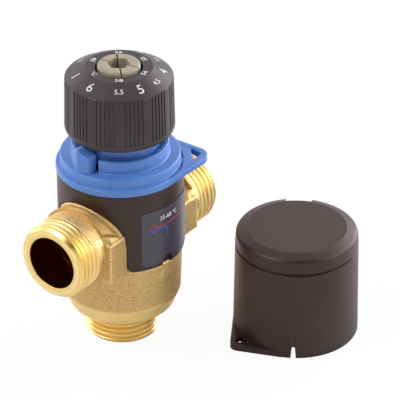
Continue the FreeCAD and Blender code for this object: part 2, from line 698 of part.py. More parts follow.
def control_shuttle():
    """Sliding sleeve that shares the flow between the hot and the cold seat."""
    shell = tube(shuttle_r, shuttle_r - shuttle_wall, shuttle_low_z, shuttle_top_z)
    hub = cylinder(hub_r, spider_low_z, shuttle_top_z)
    arms = [turned(box(0, shuttle_r - shuttle_wall / 2, -spider_arm / 2, spider_arm / 2,
                       spider_low_z, shuttle_top_z), turn) for turn in (30, 150, 270)]
    shell = shell.fuse([hub] + arms).cut(cylinder(bulb_r + hub_clear, 0, body_top_z))
    groove_z = shuttle_seal_z()
    return shell.cut(tube(shuttle_r + 1, shuttle_bore_r - seal_clear - 2 * o_ring_wire,
                          groove_z - o_ring_wire - seal_side, groove_z + o_ring_wire + seal_side))


def shuttle_seal_z():
    return (hot_ring_top_z + cold_ring_low_z) / 2


def shuttle_o_ring():
    return o_ring(shuttle_bore_r - seal_clear - o_ring_wire, o_ring_wire, shuttle_seal_z())


def return_spring():
    return coil_spring(return_spring_r, return_spring_wire, shuttle_bore_low_z, spider_low_z,
                       return_spring_turns)


def hot_seat():
    return tube(hot_seat_r[1], hot_seat_r[0], shuttle_bore_low_z - seat_recess_depth, hot_seat_z)


def seat_cage():
    """Windowed cage clamped under the bonnet, whose lower ring is the cold seat."""
    outer_r = chamber_r - cage_clear
    cage = tube(outer_r, outer_r - cage_wall, chamber_low_z, bonnet_low_z)
    low_z = chamber_low_z + cage_ring_low_h
    high_z = bonnet_low_z - cage_ring_top_h
    for turn in (0, 90):
        window = box(-outer_r - 1, outer_r + 1, -cage_window / 2, cage_window / 2, low_z, high_z)
        cage = cage.cut(turned(window, turn))
    return cage


# ---- protective cap ----------------------------------------------------------------------------------------
def protective_cap():
    """Deep cap that covers knob and ring, standing beside the valve."""
    inner_r = cap_shoulder_r - cap_wall
    rim_r = ring_step_r + cap_rim_clear
    slope = (cap_h - cap_shoulder_z) / (cap_shoulder_r - cap_disc_r)
    roof_z = cap_h - cap_roof
    band_floor_r = cap_band_r - cap_band_depth
    cap = revolved([(rim_r, 0), (cap_low_r, 0), (cap_band_r, cap_band_z - cap_band_w / 2),
                    (band_floor_r, cap_band_z - cap_band_w / 4),
                    (band_floor_r, cap_band_z + cap_band_w / 4),
                    (cap_band_r, cap_band_z + cap_band_w / 2),
                    (cap_shoulder_r, cap_shoulder_z), (cap_disc_r, cap_h), (0, cap_h),
                    (0, roof_z), (cap_disc_r, roof_z),
                    (inner_r, roof_z - slope * (inner_r - cap_disc_r)),
                    (inner_r, cap_rim_h + rim_r - inner_r), (rim_r, cap_rim_h)])
    peg = cylinder(spindle_hex / 2 - cap_peg_clear, roof_z - cap_peg_h, roof_z + MELT)
    lug_r = (rim_r + cap_lug_tip_r / 2, cap_lug_reach + cap_lug_tip_r / 2)
    tab, hole = seal_lug(cap_low_r, cap_lug_tip_r, cap_lug_reach, cap_lug_angle, 0, cap_lug_h,
                         lug_r, cap_lug_hole_half_w)
    tab = tab.cut(cylinder(cap_low_r - cap_wall / 2, -1, cap_h))
    round_z = cap_slot_h - cap_slot_top_w / 2
    slot = face_of([V(rim_r - 2, -cap_slot_low_w / 2, -1), V(rim_r - 2, cap_slot_low_w / 2, -1),
                    V(rim_r - 2, cap_slot_top_w / 2, round_z),
                    V(rim_r - 2, -cap_slot_top_w / 2, round_z)]).extrude(V(cap_wall + 4, 0, 0))
    slot_end = Part.makeCylinder(cap_slot_top_w / 2, cap_wall + 4, V(rim_r - 2, 0, round_z), X_AXIS)
    # The notch in the shoulder stays closed by a pad of the same wall inside.
    floor_z = cap_h - cap_notch_depth
    pad_half_w = cap_notch_w / 2 + cap_wall
    pad = box(cap_disc_r - cap_wall, inner_r + MELT, -pad_half_w, pad_half_w,
              floor_z - cap_wall, roof_z + MELT)
    notch = box(cap_disc_r, cap_low_r + 1, -cap_notch_w / 2, cap_notch_w / 2, floor_z, cap_h + 1)
    cap = cap.fuse([peg, tab, turned(pad, cap_slot_angle + 180)])
    cap = cap.cut([hole, turned(slot, cap_slot_angle), turned(slot_end, cap_slot_angle),
                   turned(notch, cap_slot_angle + 180)])
    cap.translate(V(cap_x, cap_y, 0))
    return cap


# ---- files ----------------------------------------------------------------------------------------------------
def main():
    os.makedirs("parts", exist_ok=True)
    low_seal_z, high_seal_z = spindle_seals()
    pieces = {
        "valve_body": valve_body(),
        "cover_sleeve": cover_sleeve(),
        "flow_label": flow_label(),
        "index_ring": index_ring(),
        "adjusting_knob": adjusting_knob(),
        "collet_insert": collet_insert(),
        "bonnet": bonnet(),
        "bonnet_o_ring": bonnet_o_ring(),
        "spindle": spindle(),
        "spindle_o_ring_lower": spindle_o_ring(low_seal_z),
        "spindle_o_ring_upper": spindle_o_ring(high_seal_z),
        "spindle_circlip": spindle_circlip(),
        "setting_nut": setting_nut(),
        "plunger_retainer": plunger_retainer(),
        "overload_plunger": overload_plunger(),
        "overload_spring": overload_spring(),
        "element_pin": element_pin(),
        "sensing_element": sensing_element(),
        "control_shuttle": control_shuttle(),
        "shuttle_o_ring": shuttle_o_ring(),
        "return_spring": return_spring(),
        "hot_seat": hot_seat(),
        "seat_cage": seat_cage(),
        "protective_cap": protective_cap(),
    }
    for name, shape in pieces.items():
        shape.exportStep("parts/" + name + ".step")
        print(name, shape.isValid(), len(shape.Solids), round(shape.Volume, 1))


main()
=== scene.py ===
# %% [markdown]
# # A three-way mixing valve for tap water
# The valve is a cast brass body with three pipe threads, a black moulded sleeve, a blue ring
# with a pointer, and a dark knob with printed numbers. A deep cap stands beside it.
# The solids come packed as a fixed frame, and this file gives them their looks. It is read from
# top to bottom: first the frame, then the finishes, then each piece, then the studio.

# %% Load the frame
import math

import bmesh
import bpy
import numpy as np
from mathutils import Matrix, Vector


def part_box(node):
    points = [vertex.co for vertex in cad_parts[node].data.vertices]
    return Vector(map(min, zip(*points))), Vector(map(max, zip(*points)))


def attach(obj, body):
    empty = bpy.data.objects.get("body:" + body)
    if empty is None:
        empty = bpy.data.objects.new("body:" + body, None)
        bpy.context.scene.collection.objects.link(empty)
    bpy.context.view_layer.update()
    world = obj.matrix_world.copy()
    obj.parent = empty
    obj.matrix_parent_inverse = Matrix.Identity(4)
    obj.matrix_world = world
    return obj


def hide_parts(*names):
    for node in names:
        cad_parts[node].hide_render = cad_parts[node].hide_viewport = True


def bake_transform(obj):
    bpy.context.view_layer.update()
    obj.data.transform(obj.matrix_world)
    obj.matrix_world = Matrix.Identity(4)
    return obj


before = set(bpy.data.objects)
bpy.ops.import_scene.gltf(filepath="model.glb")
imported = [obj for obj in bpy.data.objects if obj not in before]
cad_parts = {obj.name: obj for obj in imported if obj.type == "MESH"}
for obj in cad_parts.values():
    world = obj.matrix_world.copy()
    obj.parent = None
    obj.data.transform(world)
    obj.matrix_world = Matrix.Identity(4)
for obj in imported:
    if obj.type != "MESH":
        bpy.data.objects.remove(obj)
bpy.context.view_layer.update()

# %% [markdown]
# ## Sizes that every piece shares
# The main sizes come from the frame's own boxes, and finer ones stand beside their piece.
# Lengths are metres. MM turns a millimetre into metres, which keeps the numbers easy to read.
# The camera stands at the angle view_turn about Z, and the dial is printed to face it.

# %% Read the main sizes from the frame
MM = 0.001
body_low, body_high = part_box("valve_body")
sleeve_low, sleeve_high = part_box("cover_sleeve")
ring_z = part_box("index_ring")[0].z / MM
label_r = -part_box("flow_label")[0].y + 0.01 * MM

port_x = body_high.x
view_turn = math.radians(218.2)
mixed_axis_z = 44.4 * MM
hot_axis_z = 39.1 * MM
print("ports end to end in mm:", round((body_high.x - body_low.x) / MM, 2))

# %% [markdown]
# ## Node helpers
# Node trees are long to write by hand. Small helpers make a node with its values and links,
# do sums and start a named group. They serve the shader trees and the geometry trees alike.

# %% Helpers for node trees
def join(tree, start, end):
    tree.links.new(start, end)


def add_node(tree, kind, values=None, **settings):
    """Adds a node with its settings. Each input gets a start value or a link from a socket."""
    made = tree.nodes.new(kind)
    for name, value in settings.items():
        setattr(made, name, value)
    for name, value in (values or {}).items():
        if isinstance(value, bpy.types.NodeSocket):
            join(tree, value, made.inputs[name])
        else:
            made.inputs[name].default_value = value
    return made


def calc(tree, operation, *values):
    """Adds a math node over numbers and sockets, and gives its result."""
    made = add_node(tree, "ShaderNodeMath", dict(enumerate(values)), operation=operation)
    return made.outputs[0]


def new_tree(name, kind, inputs, outputs, output_kind="Float"):
    """Node group with named inputs, whose start values tell their kind, and named outputs."""
    kinds = {float: "Float", int: "Int", tuple: "Vector", type(None): "Geometry"}
    tree = bpy.data.node_groups.new(name, kind + "NodeTree")

    def socket(title, way, socket_kind):
        return tree.interface.new_socket(name=title, in_out=way,
                                         socket_type="NodeSocket" + socket_kind)

    for title, value in inputs.items():
        made = socket(title, "INPUT", kinds[type(value)])
        if value is not None:
            made.default_value = value
    for title in outputs:
        socket(title, "OUTPUT", output_kind)
    entry = add_node(tree, "NodeGroupInput").outputs
    leave = add_node(tree, "NodeGroupOutput").inputs
    return tree, entry, leave


print("node helpers ready")

# %% [markdown]
# ## Shader group: cast grain
# Sand leaves brass with a fine, even roughness and a few deeper pits. The group mixes two
# noises for the grain and a cell pattern for the pits, and gives a height for the bump and a
# tone that makes the high grains paler than the hollows.

# %% Build the cast grain group
def build_cast_grain():
    tree, entry, leave = new_tree(
        "cast_grain", "Shader", {"Grain Size": 0.4 * MM, "Pits": 0.3},
        ["Height", "Tone", "Patches"])
    place = add_node(tree, "ShaderNodeTexCoord").outputs["Object"]

    def noise(scale, detail, roughness=0.5):
        return add_node(tree, "ShaderNodeTexNoise", {
            "Vector": place, "Scale": scale, "Detail": detail,
            "Roughness": roughness}).outputs[0]

    density = calc(tree, "DIVIDE", 1.0, entry["Grain Size"])
    coarse = noise(density, 3.0, 0.6)
    fine = noise(calc(tree, "MULTIPLY", density, 3.1), 2.0, 0.7)
    cells = add_node(tree, "ShaderNodeTexVoronoi", {
        "Vector": place, "Scale": calc(tree, "MULTIPLY", density, 0.35)})
    pit = add_node(tree, "ShaderNodeMapRange", {
        "Value": cells.outputs["Distance"], "From Min": 0.05, "From Max": 0.30,
        "To Min": 1.0, "To Max": 0.0})
    pit_depth = calc(tree, "MULTIPLY", pit.outputs[0], entry["Pits"])
    height = calc(tree, "SUBTRACT", calc(tree, "MULTIPLY_ADD", fine, 0.45, coarse), pit_depth)
    tone = add_node(tree, "ShaderNodeMapRange", {
        "Value": height, "From Min": 0.45, "From Max": 1.0})
    join(tree, height, leave["Height"])
    join(tree, tone.outputs[0], leave["Tone"])
    join(tree, noise(90.0, 2.0), leave["Patches"])
    return tree


cast_grain = build_cast_grain()
print(cast_grain.name, "has", len(cast_grain.nodes), "nodes")

# %% [markdown]
# ## Shader group: turning lines
# A lathe tool leaves fine rings around the axis. Each turned end carries an attribute,
# lathe_pos, the sum of height and radius. It changes along flat faces, bores and cylinders
# alike, so one pattern serves them all. The group turns it into uneven fine rings.

# %% Build the turning lines group
def build_turning_lines():
    tree, entry, leave = new_tree("turning_lines", "Shader", {"Feed": 0.12 * MM},
                                  ["Height", "Band"])
    tool = add_node(tree, "ShaderNodeAttribute", attribute_name="lathe_pos")
    count = calc(tree, "DIVIDE", tool.outputs["Fac"], entry["Feed"])
    for title, scale, detail in (("Height", 1.0, 2.0), ("Band", 0.09, 1.0)):
        rings = add_node(tree, "ShaderNodeTexNoise",
                         {"W": count, "Scale": scale, "Detail": detail},
                         noise_dimensions="1D")
        join(tree, rings.outputs[0], leave[title])
    return tree


turning_lines = build_turning_lines()
print(turning_lines.name, "has", len(turning_lines.nodes), "nodes")

# %% [markdown]
# ## Shader group: moulded skin
# Plastic from a steel mould shows the mould's spark-eroded texture: a very fine, even grain.
# On top of it handling leaves faint cloudy smears, which change only how sharp the shine is.

# %% Build the moulded skin group
def build_moulded_skin():
    tree, entry, leave = new_tree("moulded_skin", "Shader", {"Grain Size": 0.15 * MM},
                                  ["Height", "Smear"])
    place = add_node(tree, "ShaderNodeTexCoord").outputs["Object"]
    grain = add_node(tree, "ShaderNodeTexNoise", {
        "Vector": place, "Scale": calc(tree, "DIVIDE", 1.0, entry["Grain Size"]),
        "Detail": 2.0, "Roughness": 0.55})
    stretch = add_node(tree, "ShaderNodeMapping", {"Vector": place, "Scale": (1.0, 1.0, 0.5)})
    smear = add_node(tree, "ShaderNodeTexNoise", {
        "Vector": stretch.outputs[0], "Scale": 130.0, "Detail": 4.0})
    join(tree, grain.outputs[0], leave["Height"])
    join(tree, smear.outputs[0], leave["Smear"])
    return tree


moulded_skin = build_moulded_skin()
print(moulded_skin.name, "has", len(moulded_skin.nodes), "nodes")

# %% [markdown]
# ## Metals
# Brass is one alloy with two faces here. As cast it is sandy, pale and dull. Where a tool has
# cut it, it is bright and more golden. Both are full metals, so their colour is the colour of
# what they reflect, and the grain changes roughness, tone and bump together.

# %% Start a material
def new_material(name, **values):
    """Material with only its surface shader, whose named inputs are set, and its output."""
    material = bpy.data.materials.new(name)
    material.use_nodes = True
    tree = material.node_tree
    tree.nodes.clear()
    surface = add_node(tree, "ShaderNodeBsdfPrincipled",
                       {title.replace("_", " "): value for title, value in values.items()})
    add_node(tree, "ShaderNodeOutputMaterial", {"Surface": surface.outputs[0]})
    return material, tree, surface


def add_group(tree, group, **values):
    """Adds a node group with its named inputs set, and gives its outputs."""
    made = add_node(tree, "ShaderNodeGroup", node_tree=group)
    for title, value in values.items():
        made.inputs[title.replace("_", " ")].default_value = value
    return made.outputs


def ramp(tree, factor, low, high, low_at=0.0, high_at=1.0):
    """Blend of two colours by a mask."""
    made = add_node(tree, "ShaderNodeValToRGB", {0: factor})
    for element, at, colour in zip(made.color_ramp.elements, (low_at, high_at), (low, high)):
        element.position = at
        element.color = (*colour, 1.0)
    return made.outputs[0]


def spread(tree, factor, low, high):
    """Rescales a mask to a range of values."""
    return add_node(tree, "ShaderNodeMapRange",
                    {"Value": factor, "To Min": low, "To Max": high}).outputs[0]


def shade_by(tree, colour, attribute, low, high):
    """Multiplies a colour by a blend of two shades that follows a stored attribute."""
    mask = add_node(tree, "ShaderNodeAttribute", attribute_name=attribute)
    shade = ramp(tree, mask.outputs["Fac"], low, high)
    product = add_node(tree, "ShaderNodeMix", {"Factor": 1.0, 6: colour, 7: shade},
                       data_type="RGBA", blend_type="MULTIPLY")
    return product.outputs[2]


def paint_bore_shade(tree, colour):
    """Paints shade on brass where the attribute inside marks a bore."""
    return shade_by(tree, colour, "inside", (1.0, 1.0, 1.0), (0.24, 0.09, 0.03))


def dress(tree, surface, colour, roughness, height, distance):
    """Gives a surface its colour, its roughness and a bump of a depth in metres."""
    bump = add_node(tree, "ShaderNodeBump",
                    {"Strength": 1.0, "Distance": distance, "Height": height})
    for title, socket in (("Base Color", colour), ("Roughness", roughness),
                          ("Normal", bump.outputs[0])):
        join(tree, socket, surface.inputs[title])


print("material helpers ready")

# %% Cast brass
def make_cast_brass():
    material, tree, surface = new_material("cast_brass", Metallic=1.0)
    grain = add_group(tree, cast_grain, Grain_Size=0.42 * MM, Pits=0.25)
    skin = ramp(tree, grain["Tone"], (0.40, 0.262, 0.098), (0.88, 0.665, 0.34))
    # Painted highlight on the proud edges and painted shade in the hollows, following the edge
    # attribute.
    lit_edges_shaded_hollows = shade_by(tree, skin, "edge", (0.72, 0.68, 0.60), (1.25, 1.22, 1.15))
    # Painted shade darkens the bores, where the attribute inside is one.
    dress(tree, surface, paint_bore_shade(tree, lit_edges_shaded_hollows), spread(tree, grain["Patches"], 0.50, 0.68),
          grain["Height"], 0.10 * MM)
    return material


cast_brass = make_cast_brass()
print("made", cast_brass.name)

# %% Turned brass
def make_turned_brass():
    material, tree, surface = new_material("turned_brass", Metallic=1.0)
    lines = add_group(tree, turning_lines, Feed=0.10 * MM)
    skin = ramp(tree, lines["Band"], (0.85, 0.60, 0.21), (0.95, 0.75, 0.37), 0.3, 0.7)
    # Painted shade darkens the bores, where the attribute inside is one.
    dress(tree, surface, paint_bore_shade(tree, skin), spread(tree, lines["Band"], 0.27, 0.37),
          lines["Height"], 0.004 * MM)
    return material


turned_brass = make_turned_brass()
print("made", turned_brass.name)

# %% Spring steel
def make_spring_steel():
    material, tree, surface = new_material("spring_steel", Metallic=1.0)
    grain = add_group(tree, cast_grain, Grain_Size=0.2 * MM, Pits=0.05)
    dress(tree, surface, ramp(tree, grain["Tone"], (0.42, 0.42, 0.43), (0.56, 0.56, 0.57)),
          spread(tree, grain["Patches"], 0.22, 0.36), grain["Height"], 0.003 * MM)
    return material


spring_steel = make_spring_steel()
print("made", spring_steel.name)

# %% [markdown]
# ## Plastics, rubber, film and print
# One recipe makes every moulded material: two close tones mixed by the smears, a roughness
# range and a fine bump. Only the numbers differ, so a table of finishes says more than code.

# %% Make the moulded materials
def make_moulded(name, dark, light, rough, grain_size, depth, shine=(1, 1, 1)):
    """Moulded plastic or rubber with two close tones and a roughness range; sizes in mm."""
    material, tree, surface = new_material(name, Specular_Tint=(*shine, 1))
    skin = add_group(tree, moulded_skin, Grain_Size=grain_size * MM)
    dress(tree, surface, ramp(tree, skin["Smear"], dark, light, 0.3, 0.7),
          spread(tree, skin["Smear"], *rough), skin["Height"], depth * MM)
    return material


# Each finish: dark tone, light tone, roughness, grain size, grain depth, tint of the shine.
finishes = {
    "black_plastic": ((0.019, 0.010, 0.009), (0.026, 0.015, 0.013), (0.30, 0.42), 0.20, 0.008,
                      (1.0, 0.76, 0.72)),
    "cap_plastic": ((0.019, 0.010, 0.009), (0.026, 0.014, 0.012), (0.36, 0.48), 0.25, 0.018,
                    (1.0, 0.76, 0.73)),
    "dial_plastic": ((0.026, 0.021, 0.021), (0.032, 0.026, 0.026), (0.36, 0.48), 0.20, 0.015,
                     (1.0, 0.88, 0.88)),
    "blue_plastic": ((0.086, 0.212, 0.57), (0.100, 0.234, 0.62), (0.30, 0.42), 0.20, 0.006),
    "cream_plastic": ((0.31, 0.262, 0.182), (0.375, 0.322, 0.232), (0.38, 0.50), 0.25, 0.010),
    "white_plastic": ((0.62, 0.61, 0.57), (0.70, 0.69, 0.65), (0.35, 0.48), 0.25, 0.008),
    "seal_rubber": ((0.010, 0.010, 0.010), (0.020, 0.020, 0.020), (0.55, 0.75), 0.15, 0.010),
    "label_film": ((0.048, 0.040, 0.062), (0.060, 0.050, 0.075), (0.30, 0.40), 0.30, 0.004),
    "white_print": ((0.70, 0.70, 0.70), (0.82, 0.82, 0.82), (0.45, 0.60), 0.10, 0.003),
    "red_print": ((0.38, 0.008, 0.03), (0.50, 0.02, 0.05), (0.40, 0.55), 0.10, 0.003),
    "blue_print": ((0.04, 0.09, 0.50), (0.06, 0.13, 0.62), (0.40, 0.55), 0.10, 0.003),
}
moulded = {name: make_moulded(name, *finish) for name, finish in finishes.items()}
print("made", len(moulded), "moulded finishes")

# %% [markdown]
# ## Mesh helpers
# Most pieces of a valve are turned or moulded round, so the main helper is a lathe: a closed
# outline of (radius, height, rounding) corners, swept once around the axis. Rounding the
# outline before the sweep gives every edge its true soft radius without a bevel.

# %% Outline with rounded corners
def rounded(corners, steps=5):
    """Points of a closed outline whose corners (x, y, rounding) become arcs."""
    points = []
    for index, (x, y, size) in enumerate(corners):
        here = Vector((x, y))
        before = Vector(corners[index - 1][:2]) - here
        after = Vector(corners[(index + 1) % len(corners)][:2]) - here
        if size <= 0:
            points.append(here)
            continue
        half = before.angle(after) / 2
        reach = min(size / math.tan(half), 0.49 * before.length, 0.49 * after.length)
        size = reach * math.tan(half)
        middle = (before.normalized() + after.normalized()).normalized()
        centre = here + middle * (size / math.sin(half))
        start = here + before.normalized() * reach - centre
        turn = start.angle_signed(here + after.normalized() * reach - centre)
        for step in range(steps + 1):
            angle = -turn * step / steps
            points.append(centre + Matrix.Rotation(angle, 2) @ start)
    return points


print("rounded corners ready")

# %% Mesh, lathe, prism and cut
def new_object(name, mesh):
    made = bpy.data.objects.new(name, mesh)
    bpy.context.scene.collection.objects.link(made)
    return made


def turned(degrees, axis="Z"):
    """Matrix of a turn in degrees."""
    return Matrix.Rotation(math.radians(degrees), 4, axis)


def polar(radius, degrees):
    """Flat point at a radius and an angle in degrees."""
    return radius * math.cos(math.radians(degrees)), radius * math.sin(math.radians(degrees))


def finished_mesh(bm, name):
    """Merges doubles, points the faces outwards and writes the mesh."""
    bmesh.ops.remove_doubles(bm, verts=bm.verts, dist=1e-7)
    bmesh.ops.dissolve_degenerate(bm, edges=bm.edges, dist=1e-8)
    bmesh.ops.recalc_face_normals(bm, faces=bm.faces)
    mesh = bpy.data.meshes.new(name)
    bm.to_mesh(mesh)
    bm.free()
    return mesh


def lathe(name, corners, segments=192, steps=5):
    """Closed shell turned about Z from (radius, height, rounding) corners in mm."""
    outline = [(p.x * MM, p.y * MM) for p in rounded(corners, steps)]
    bm = bmesh.new()
    rows = []
    for step in range(segments):
        angle = 2 * math.pi * step / segments
        rows.append([bm.verts.new((r * math.cos(angle), r * math.sin(angle), z))
                     for r, z in outline])
    count = len(outline)
    for step in range(segments):
        here, there = rows[step], rows[(step + 1) % segments]
        for index in range(count):
            after = (index + 1) % count
            if outline[index][0] < 1e-9 and outline[after][0] < 1e-9:
                continue
            bm.faces.new((here[index], there[index], there[after], here[after]))
    return new_object(name, finished_mesh(bm, name))


def sheath(bm, rows):
    """Closes a row of equal rings of points with faces between them and at both ends."""
    bm.faces.new(rows[0])
    bm.faces.new(rows[-1])
    for one, two in zip(rows, rows[1:]):
        for index in range(len(one)):
            after = (index + 1) % len(one)
            bm.faces.new((one[index], one[after], two[after], two[index]))


def prism(name, points, low, high, place=Matrix.Identity(4)):
    """Closed prism over a flat outline in mm, between two heights, then put in place."""
    bm = bmesh.new()
    sheath(bm, [[bm.verts.new((x * MM, y * MM, z * MM)) for x, y in points]
                for z in (low, high)])
    bm.transform(place)
    return new_object(name, finished_mesh(bm, name))


def settle(obj):
    """Applies the modifiers of an object to its mesh."""
    seen = bpy.context.evaluated_depsgraph_get()
    mesh = bpy.data.meshes.new_from_object(obj.evaluated_get(seen))
    obj.modifiers.clear()
    obj.data = mesh
    return obj


def modify(obj, kind, **settings):
    """Adds a modifier with its settings."""
    step = obj.modifiers.new(kind.lower(), kind)
    for title, value in settings.items():
        setattr(step, title, value)


def combine(obj, other, way="DIFFERENCE"):
    """Cuts, adds or intersects with another object, which is then removed."""
    modify(obj, "BOOLEAN", operation=way, solver="EXACT", object=other)
    settle(obj)
    bpy.data.objects.remove(other)
    return obj


def soften(obj, width, angle=40, segments=2):
    """Rounds the edges that are sharper than an angle."""
    modify(obj, "BEVEL", width=width * MM, segments=segments, limit_method="ANGLE",
           angle_limit=math.radians(angle), use_clamp_overlap=True, miter_outer="MITER_ARC")
    return settle(obj)


print("mesh helpers ready")

# %% Finish a piece
def shade(obj, material, smooth):
    """Gives a mesh one finish and smooth shading up to an angle between faces."""
    obj.data.materials.clear()
    obj.data.materials.append(material)
    obj.data.polygons.foreach_set("material_index", [0] * len(obj.data.polygons))
    obj.data.shade_smooth()
    obj.data.set_sharp_from_angle(angle=math.radians(smooth))
    obj.data.name = obj.name


def finish_piece(obj, material, body, replaces=(), smooth=40):
    """Shades a piece, hangs it on the empty of its body and hides the nodes it stands for."""
    shade(obj, material, smooth)
    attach(obj, body)
    if replaces:
        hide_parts(*replaces)
    triangles = sum(len(p.vertices) - 2 for p in obj.data.polygons)
    print(obj.name, "has", triangles, "triangles")


print("every piece ends with finish_piece")

# %% [markdown]
# ## The cast body
# The body is a sand casting, so none of its edges is sharp. The solid has the right shape but
# crisp edges. A copy of it loses its turned ends and its waterways are plugged, then it is
# rebuilt from small cubes and smoothed, which melts every edge by about half a millimetre.
# The waterways are cut in again afterwards, so they keep their exact size.

# %% Copy the solid and take its waterways apart
def node_copy(node, name):
    """Closed copy of a frame node, with the doubled points of its triangles merged."""
    bm = bmesh.new()
    bm.from_mesh(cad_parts[node].data)
    bmesh.ops.remove_doubles(bm, verts=bm.verts, dist=2e-6)
    mesh = bpy.data.meshes.new(name)
    bm.to_mesh(mesh)
    bm.free()
    return new_object(name, mesh)


def bar(name, radius, low, high, place=Matrix.Identity(4), segments=96):
    """Plain round bar in mm, used as a plug or a cutter."""
    made = lathe(name, [(0, low, 0), (radius, low, 0), (radius, high, 0), (0, high, 0)], segments)
    made.data.transform(place)
    return made


def port_place(height, turn):
    """Lays a piece made along +Z flat at a height, pointing outwards at an angle about Z."""
    return turned(turn) @ Matrix.Translation((0, 0, height)) @ turned(90, "Y")


side_ports = {"hot": port_place(hot_axis_z, 0), "mixed": port_place(mixed_axis_z, 180)}
collar_x, thread_r, bore_r = 24.9, 13.22, 9.35
casting_low_z = 17.2
casting = node_copy("valve_body", "body_casting")
waterways = bar("waterways", 19.6, 12.0, 63.0)
for place in side_ports.values():
    combine(waterways, bar("side_bore", 12.0, 0.0, 30.0, place), "UNION")
plug = waterways.copy()
plug.data = waterways.data.copy()
bpy.context.scene.collection.objects.link(plug)
combine(waterways, node_copy("valve_body", "solid"))
print("waterways have", len(waterways.data.polygons), "faces")

# %% Rebuild the outside with soft edges
barrel_top_z, boss_reach, hood_r = 61.9, 24.8, 15.6
combine(plug, bar("plug_span", 30.0, casting_low_z - 0.1, barrel_top_z), "INTERSECT")
combine(plug, bar("plug_reach", boss_reach, 0.0, 70.0), "INTERSECT")
combine(casting, plug, "UNION")
for place in side_ports.values():
    combine(casting, bar("end", thread_r + 0.02, collar_x, 45.0, place))
combine(casting, bar("low_end", 40.0, -5.0, casting_low_z))
hood_gap = bar("hood_gap", hood_r, collar_x, 45.0, side_ports["mixed"])
above = bar("above", 30.0, mixed_axis_z / MM + 1.0, 80.0)
above.data.transform(Matrix.Translation((-30 * MM, 0, 0)))
combine(casting, combine(hood_gap, above, "INTERSECT"))

modify(casting, "REMESH", mode="VOXEL", voxel_size=0.40 * MM, use_smooth_shade=True)
modify(casting, "SMOOTH", factor=0.5, iterations=4)
settle(casting)
print("melted casting has", len(casting.data.polygons), "faces")

# %% Cut the waterways in again
mark_turn = -96
disc = bar("raised_disc", 1.9, 20.2, 21.0, port_place(30.0 * MM, mark_turn), 48)
combine(casting, disc, "UNION")
combine(casting, waterways)
print("casting has", len(casting.data.polygons), "faces")

# %% [markdown]
# Painted shade makes the bores look almost black beside the bright faces. Every point near
# the axis of a bore is marked once in an attribute, which the brass finishes read.

# %% Mark what lies inside the bores
def mesh_points(mesh):
    """Points of a mesh as rows of three numbers."""
    points = np.empty(len(mesh.vertices) * 3)
    mesh.vertices.foreach_get("co", points)
    return points.reshape(-1, 3)


def store_values(mesh, name, values):
    """Writes one number for each point of a mesh as a named attribute."""
    mesh.attributes.new(name, "FLOAT", "POINT").data.foreach_set(
        "value", values.astype(np.float32))


def store_inside(obj, bores):
    """Writes the attribute inside: one within a bore (start, direction, radius, reach)."""
    points = mesh_points(obj.data)
    within = np.zeros(len(points), bool)
    for start, way, radius, reach in bores:
        arm = points - np.array(start)
        along = arm @ np.array(way)
        off = np.linalg.norm(arm - np.outer(along, way), axis=1)
        within |= (off < radius * MM) & (np.abs(along) < reach * MM)
    store_values(obj.data, "inside", within)


store_inside(casting, [((0, 0, 0), (0, 0, 1), 19.7, 99)]
             + [((0, 0, height), (1, 0, 0), bore_r + 0.15, 30)
                for height in (hot_axis_z, mixed_axis_z)])
print("bores marked")

# %% [markdown]
# The cast finish paints a highlight on the proud edges of the casting and shade in its hollows.
# How far each point stands above the mean of its neighbours tells the two apart. Spread over a
# few rounds and stored as an attribute, it lets the finish follow the shape at no cost in the
# shader.

# %% Measure the edges
def store_edges(obj, reach, rounds=3):
    """Writes the attribute edge: over 0.5 where the surface is proud, under 0.5 in hollows."""
    mesh = obj.data
    count = len(mesh.vertices)
    points = mesh_points(mesh)
    normals = np.empty(count * 3)
    mesh.vertex_normals.foreach_get("vector", normals)
    normals = normals.reshape(-1, 3)
    ends = np.empty(len(mesh.edges) * 2, int)
    mesh.edges.foreach_get("vertices", ends)
    ends = ends.reshape(-1, 2)
    degree = np.maximum(np.bincount(ends.ravel(), minlength=count), 1)

    def mean(values):
        total = np.zeros_like(values)
        np.add.at(total, ends[:, 0], values[ends[:, 1]])
        np.add.at(total, ends[:, 1], values[ends[:, 0]])
        return (total.T / degree).T

    calm_points = points
    for _ in range(rounds):
        calm_points = mean(calm_points)
    proud = ((points - calm_points) * normals).sum(axis=1) / reach
    for _ in range(2):
        proud = 0.5 * proud + 0.5 * mean(proud)
    store_values(mesh, "edge", np.clip(0.5 + 0.5 * proud, 0, 1))
    return float(proud.min()), float(proud.max())


print("edge measure from", store_edges(casting, 0.10 * MM))
finish_piece(casting, cast_brass, "valve", ["valve_body"], smooth=50)

# %% [markdown]
# ## The pipe threads
# A pipe thread winds a 55 degree groove at an even pitch. Its shape is a rule, so a
# Geometry Nodes tree bends a flat grid into it: one side of the grid becomes the turn around
# the axis, the other the way along it, and each row lies on the helix, so that the crests stay
# sharp with few faces. The first and last column meet one turn apart and are merged.

# %% Build the thread tree
def around(tree, radius, angle, height):
    """Point at a radius, an angle and a height about Z."""
    x, y = (calc(tree, "MULTIPLY", radius, calc(tree, way, angle)) for way in ("COSINE", "SINE"))
    return add_node(tree, "ShaderNodeCombineXYZ", {"X": x, "Y": y, "Z": height}).outputs[0]


def end_tree(tree, leave, geometry, material):
    """Ends a geometry tree with real faces and one material."""
    real = add_node(tree, "GeometryNodeRealizeInstances", {"Geometry": geometry})
    paint = add_node(tree, "GeometryNodeSetMaterial",
                     {"Geometry": real.outputs[0], "Material": material})
    join(tree, paint.outputs[0], leave[0])


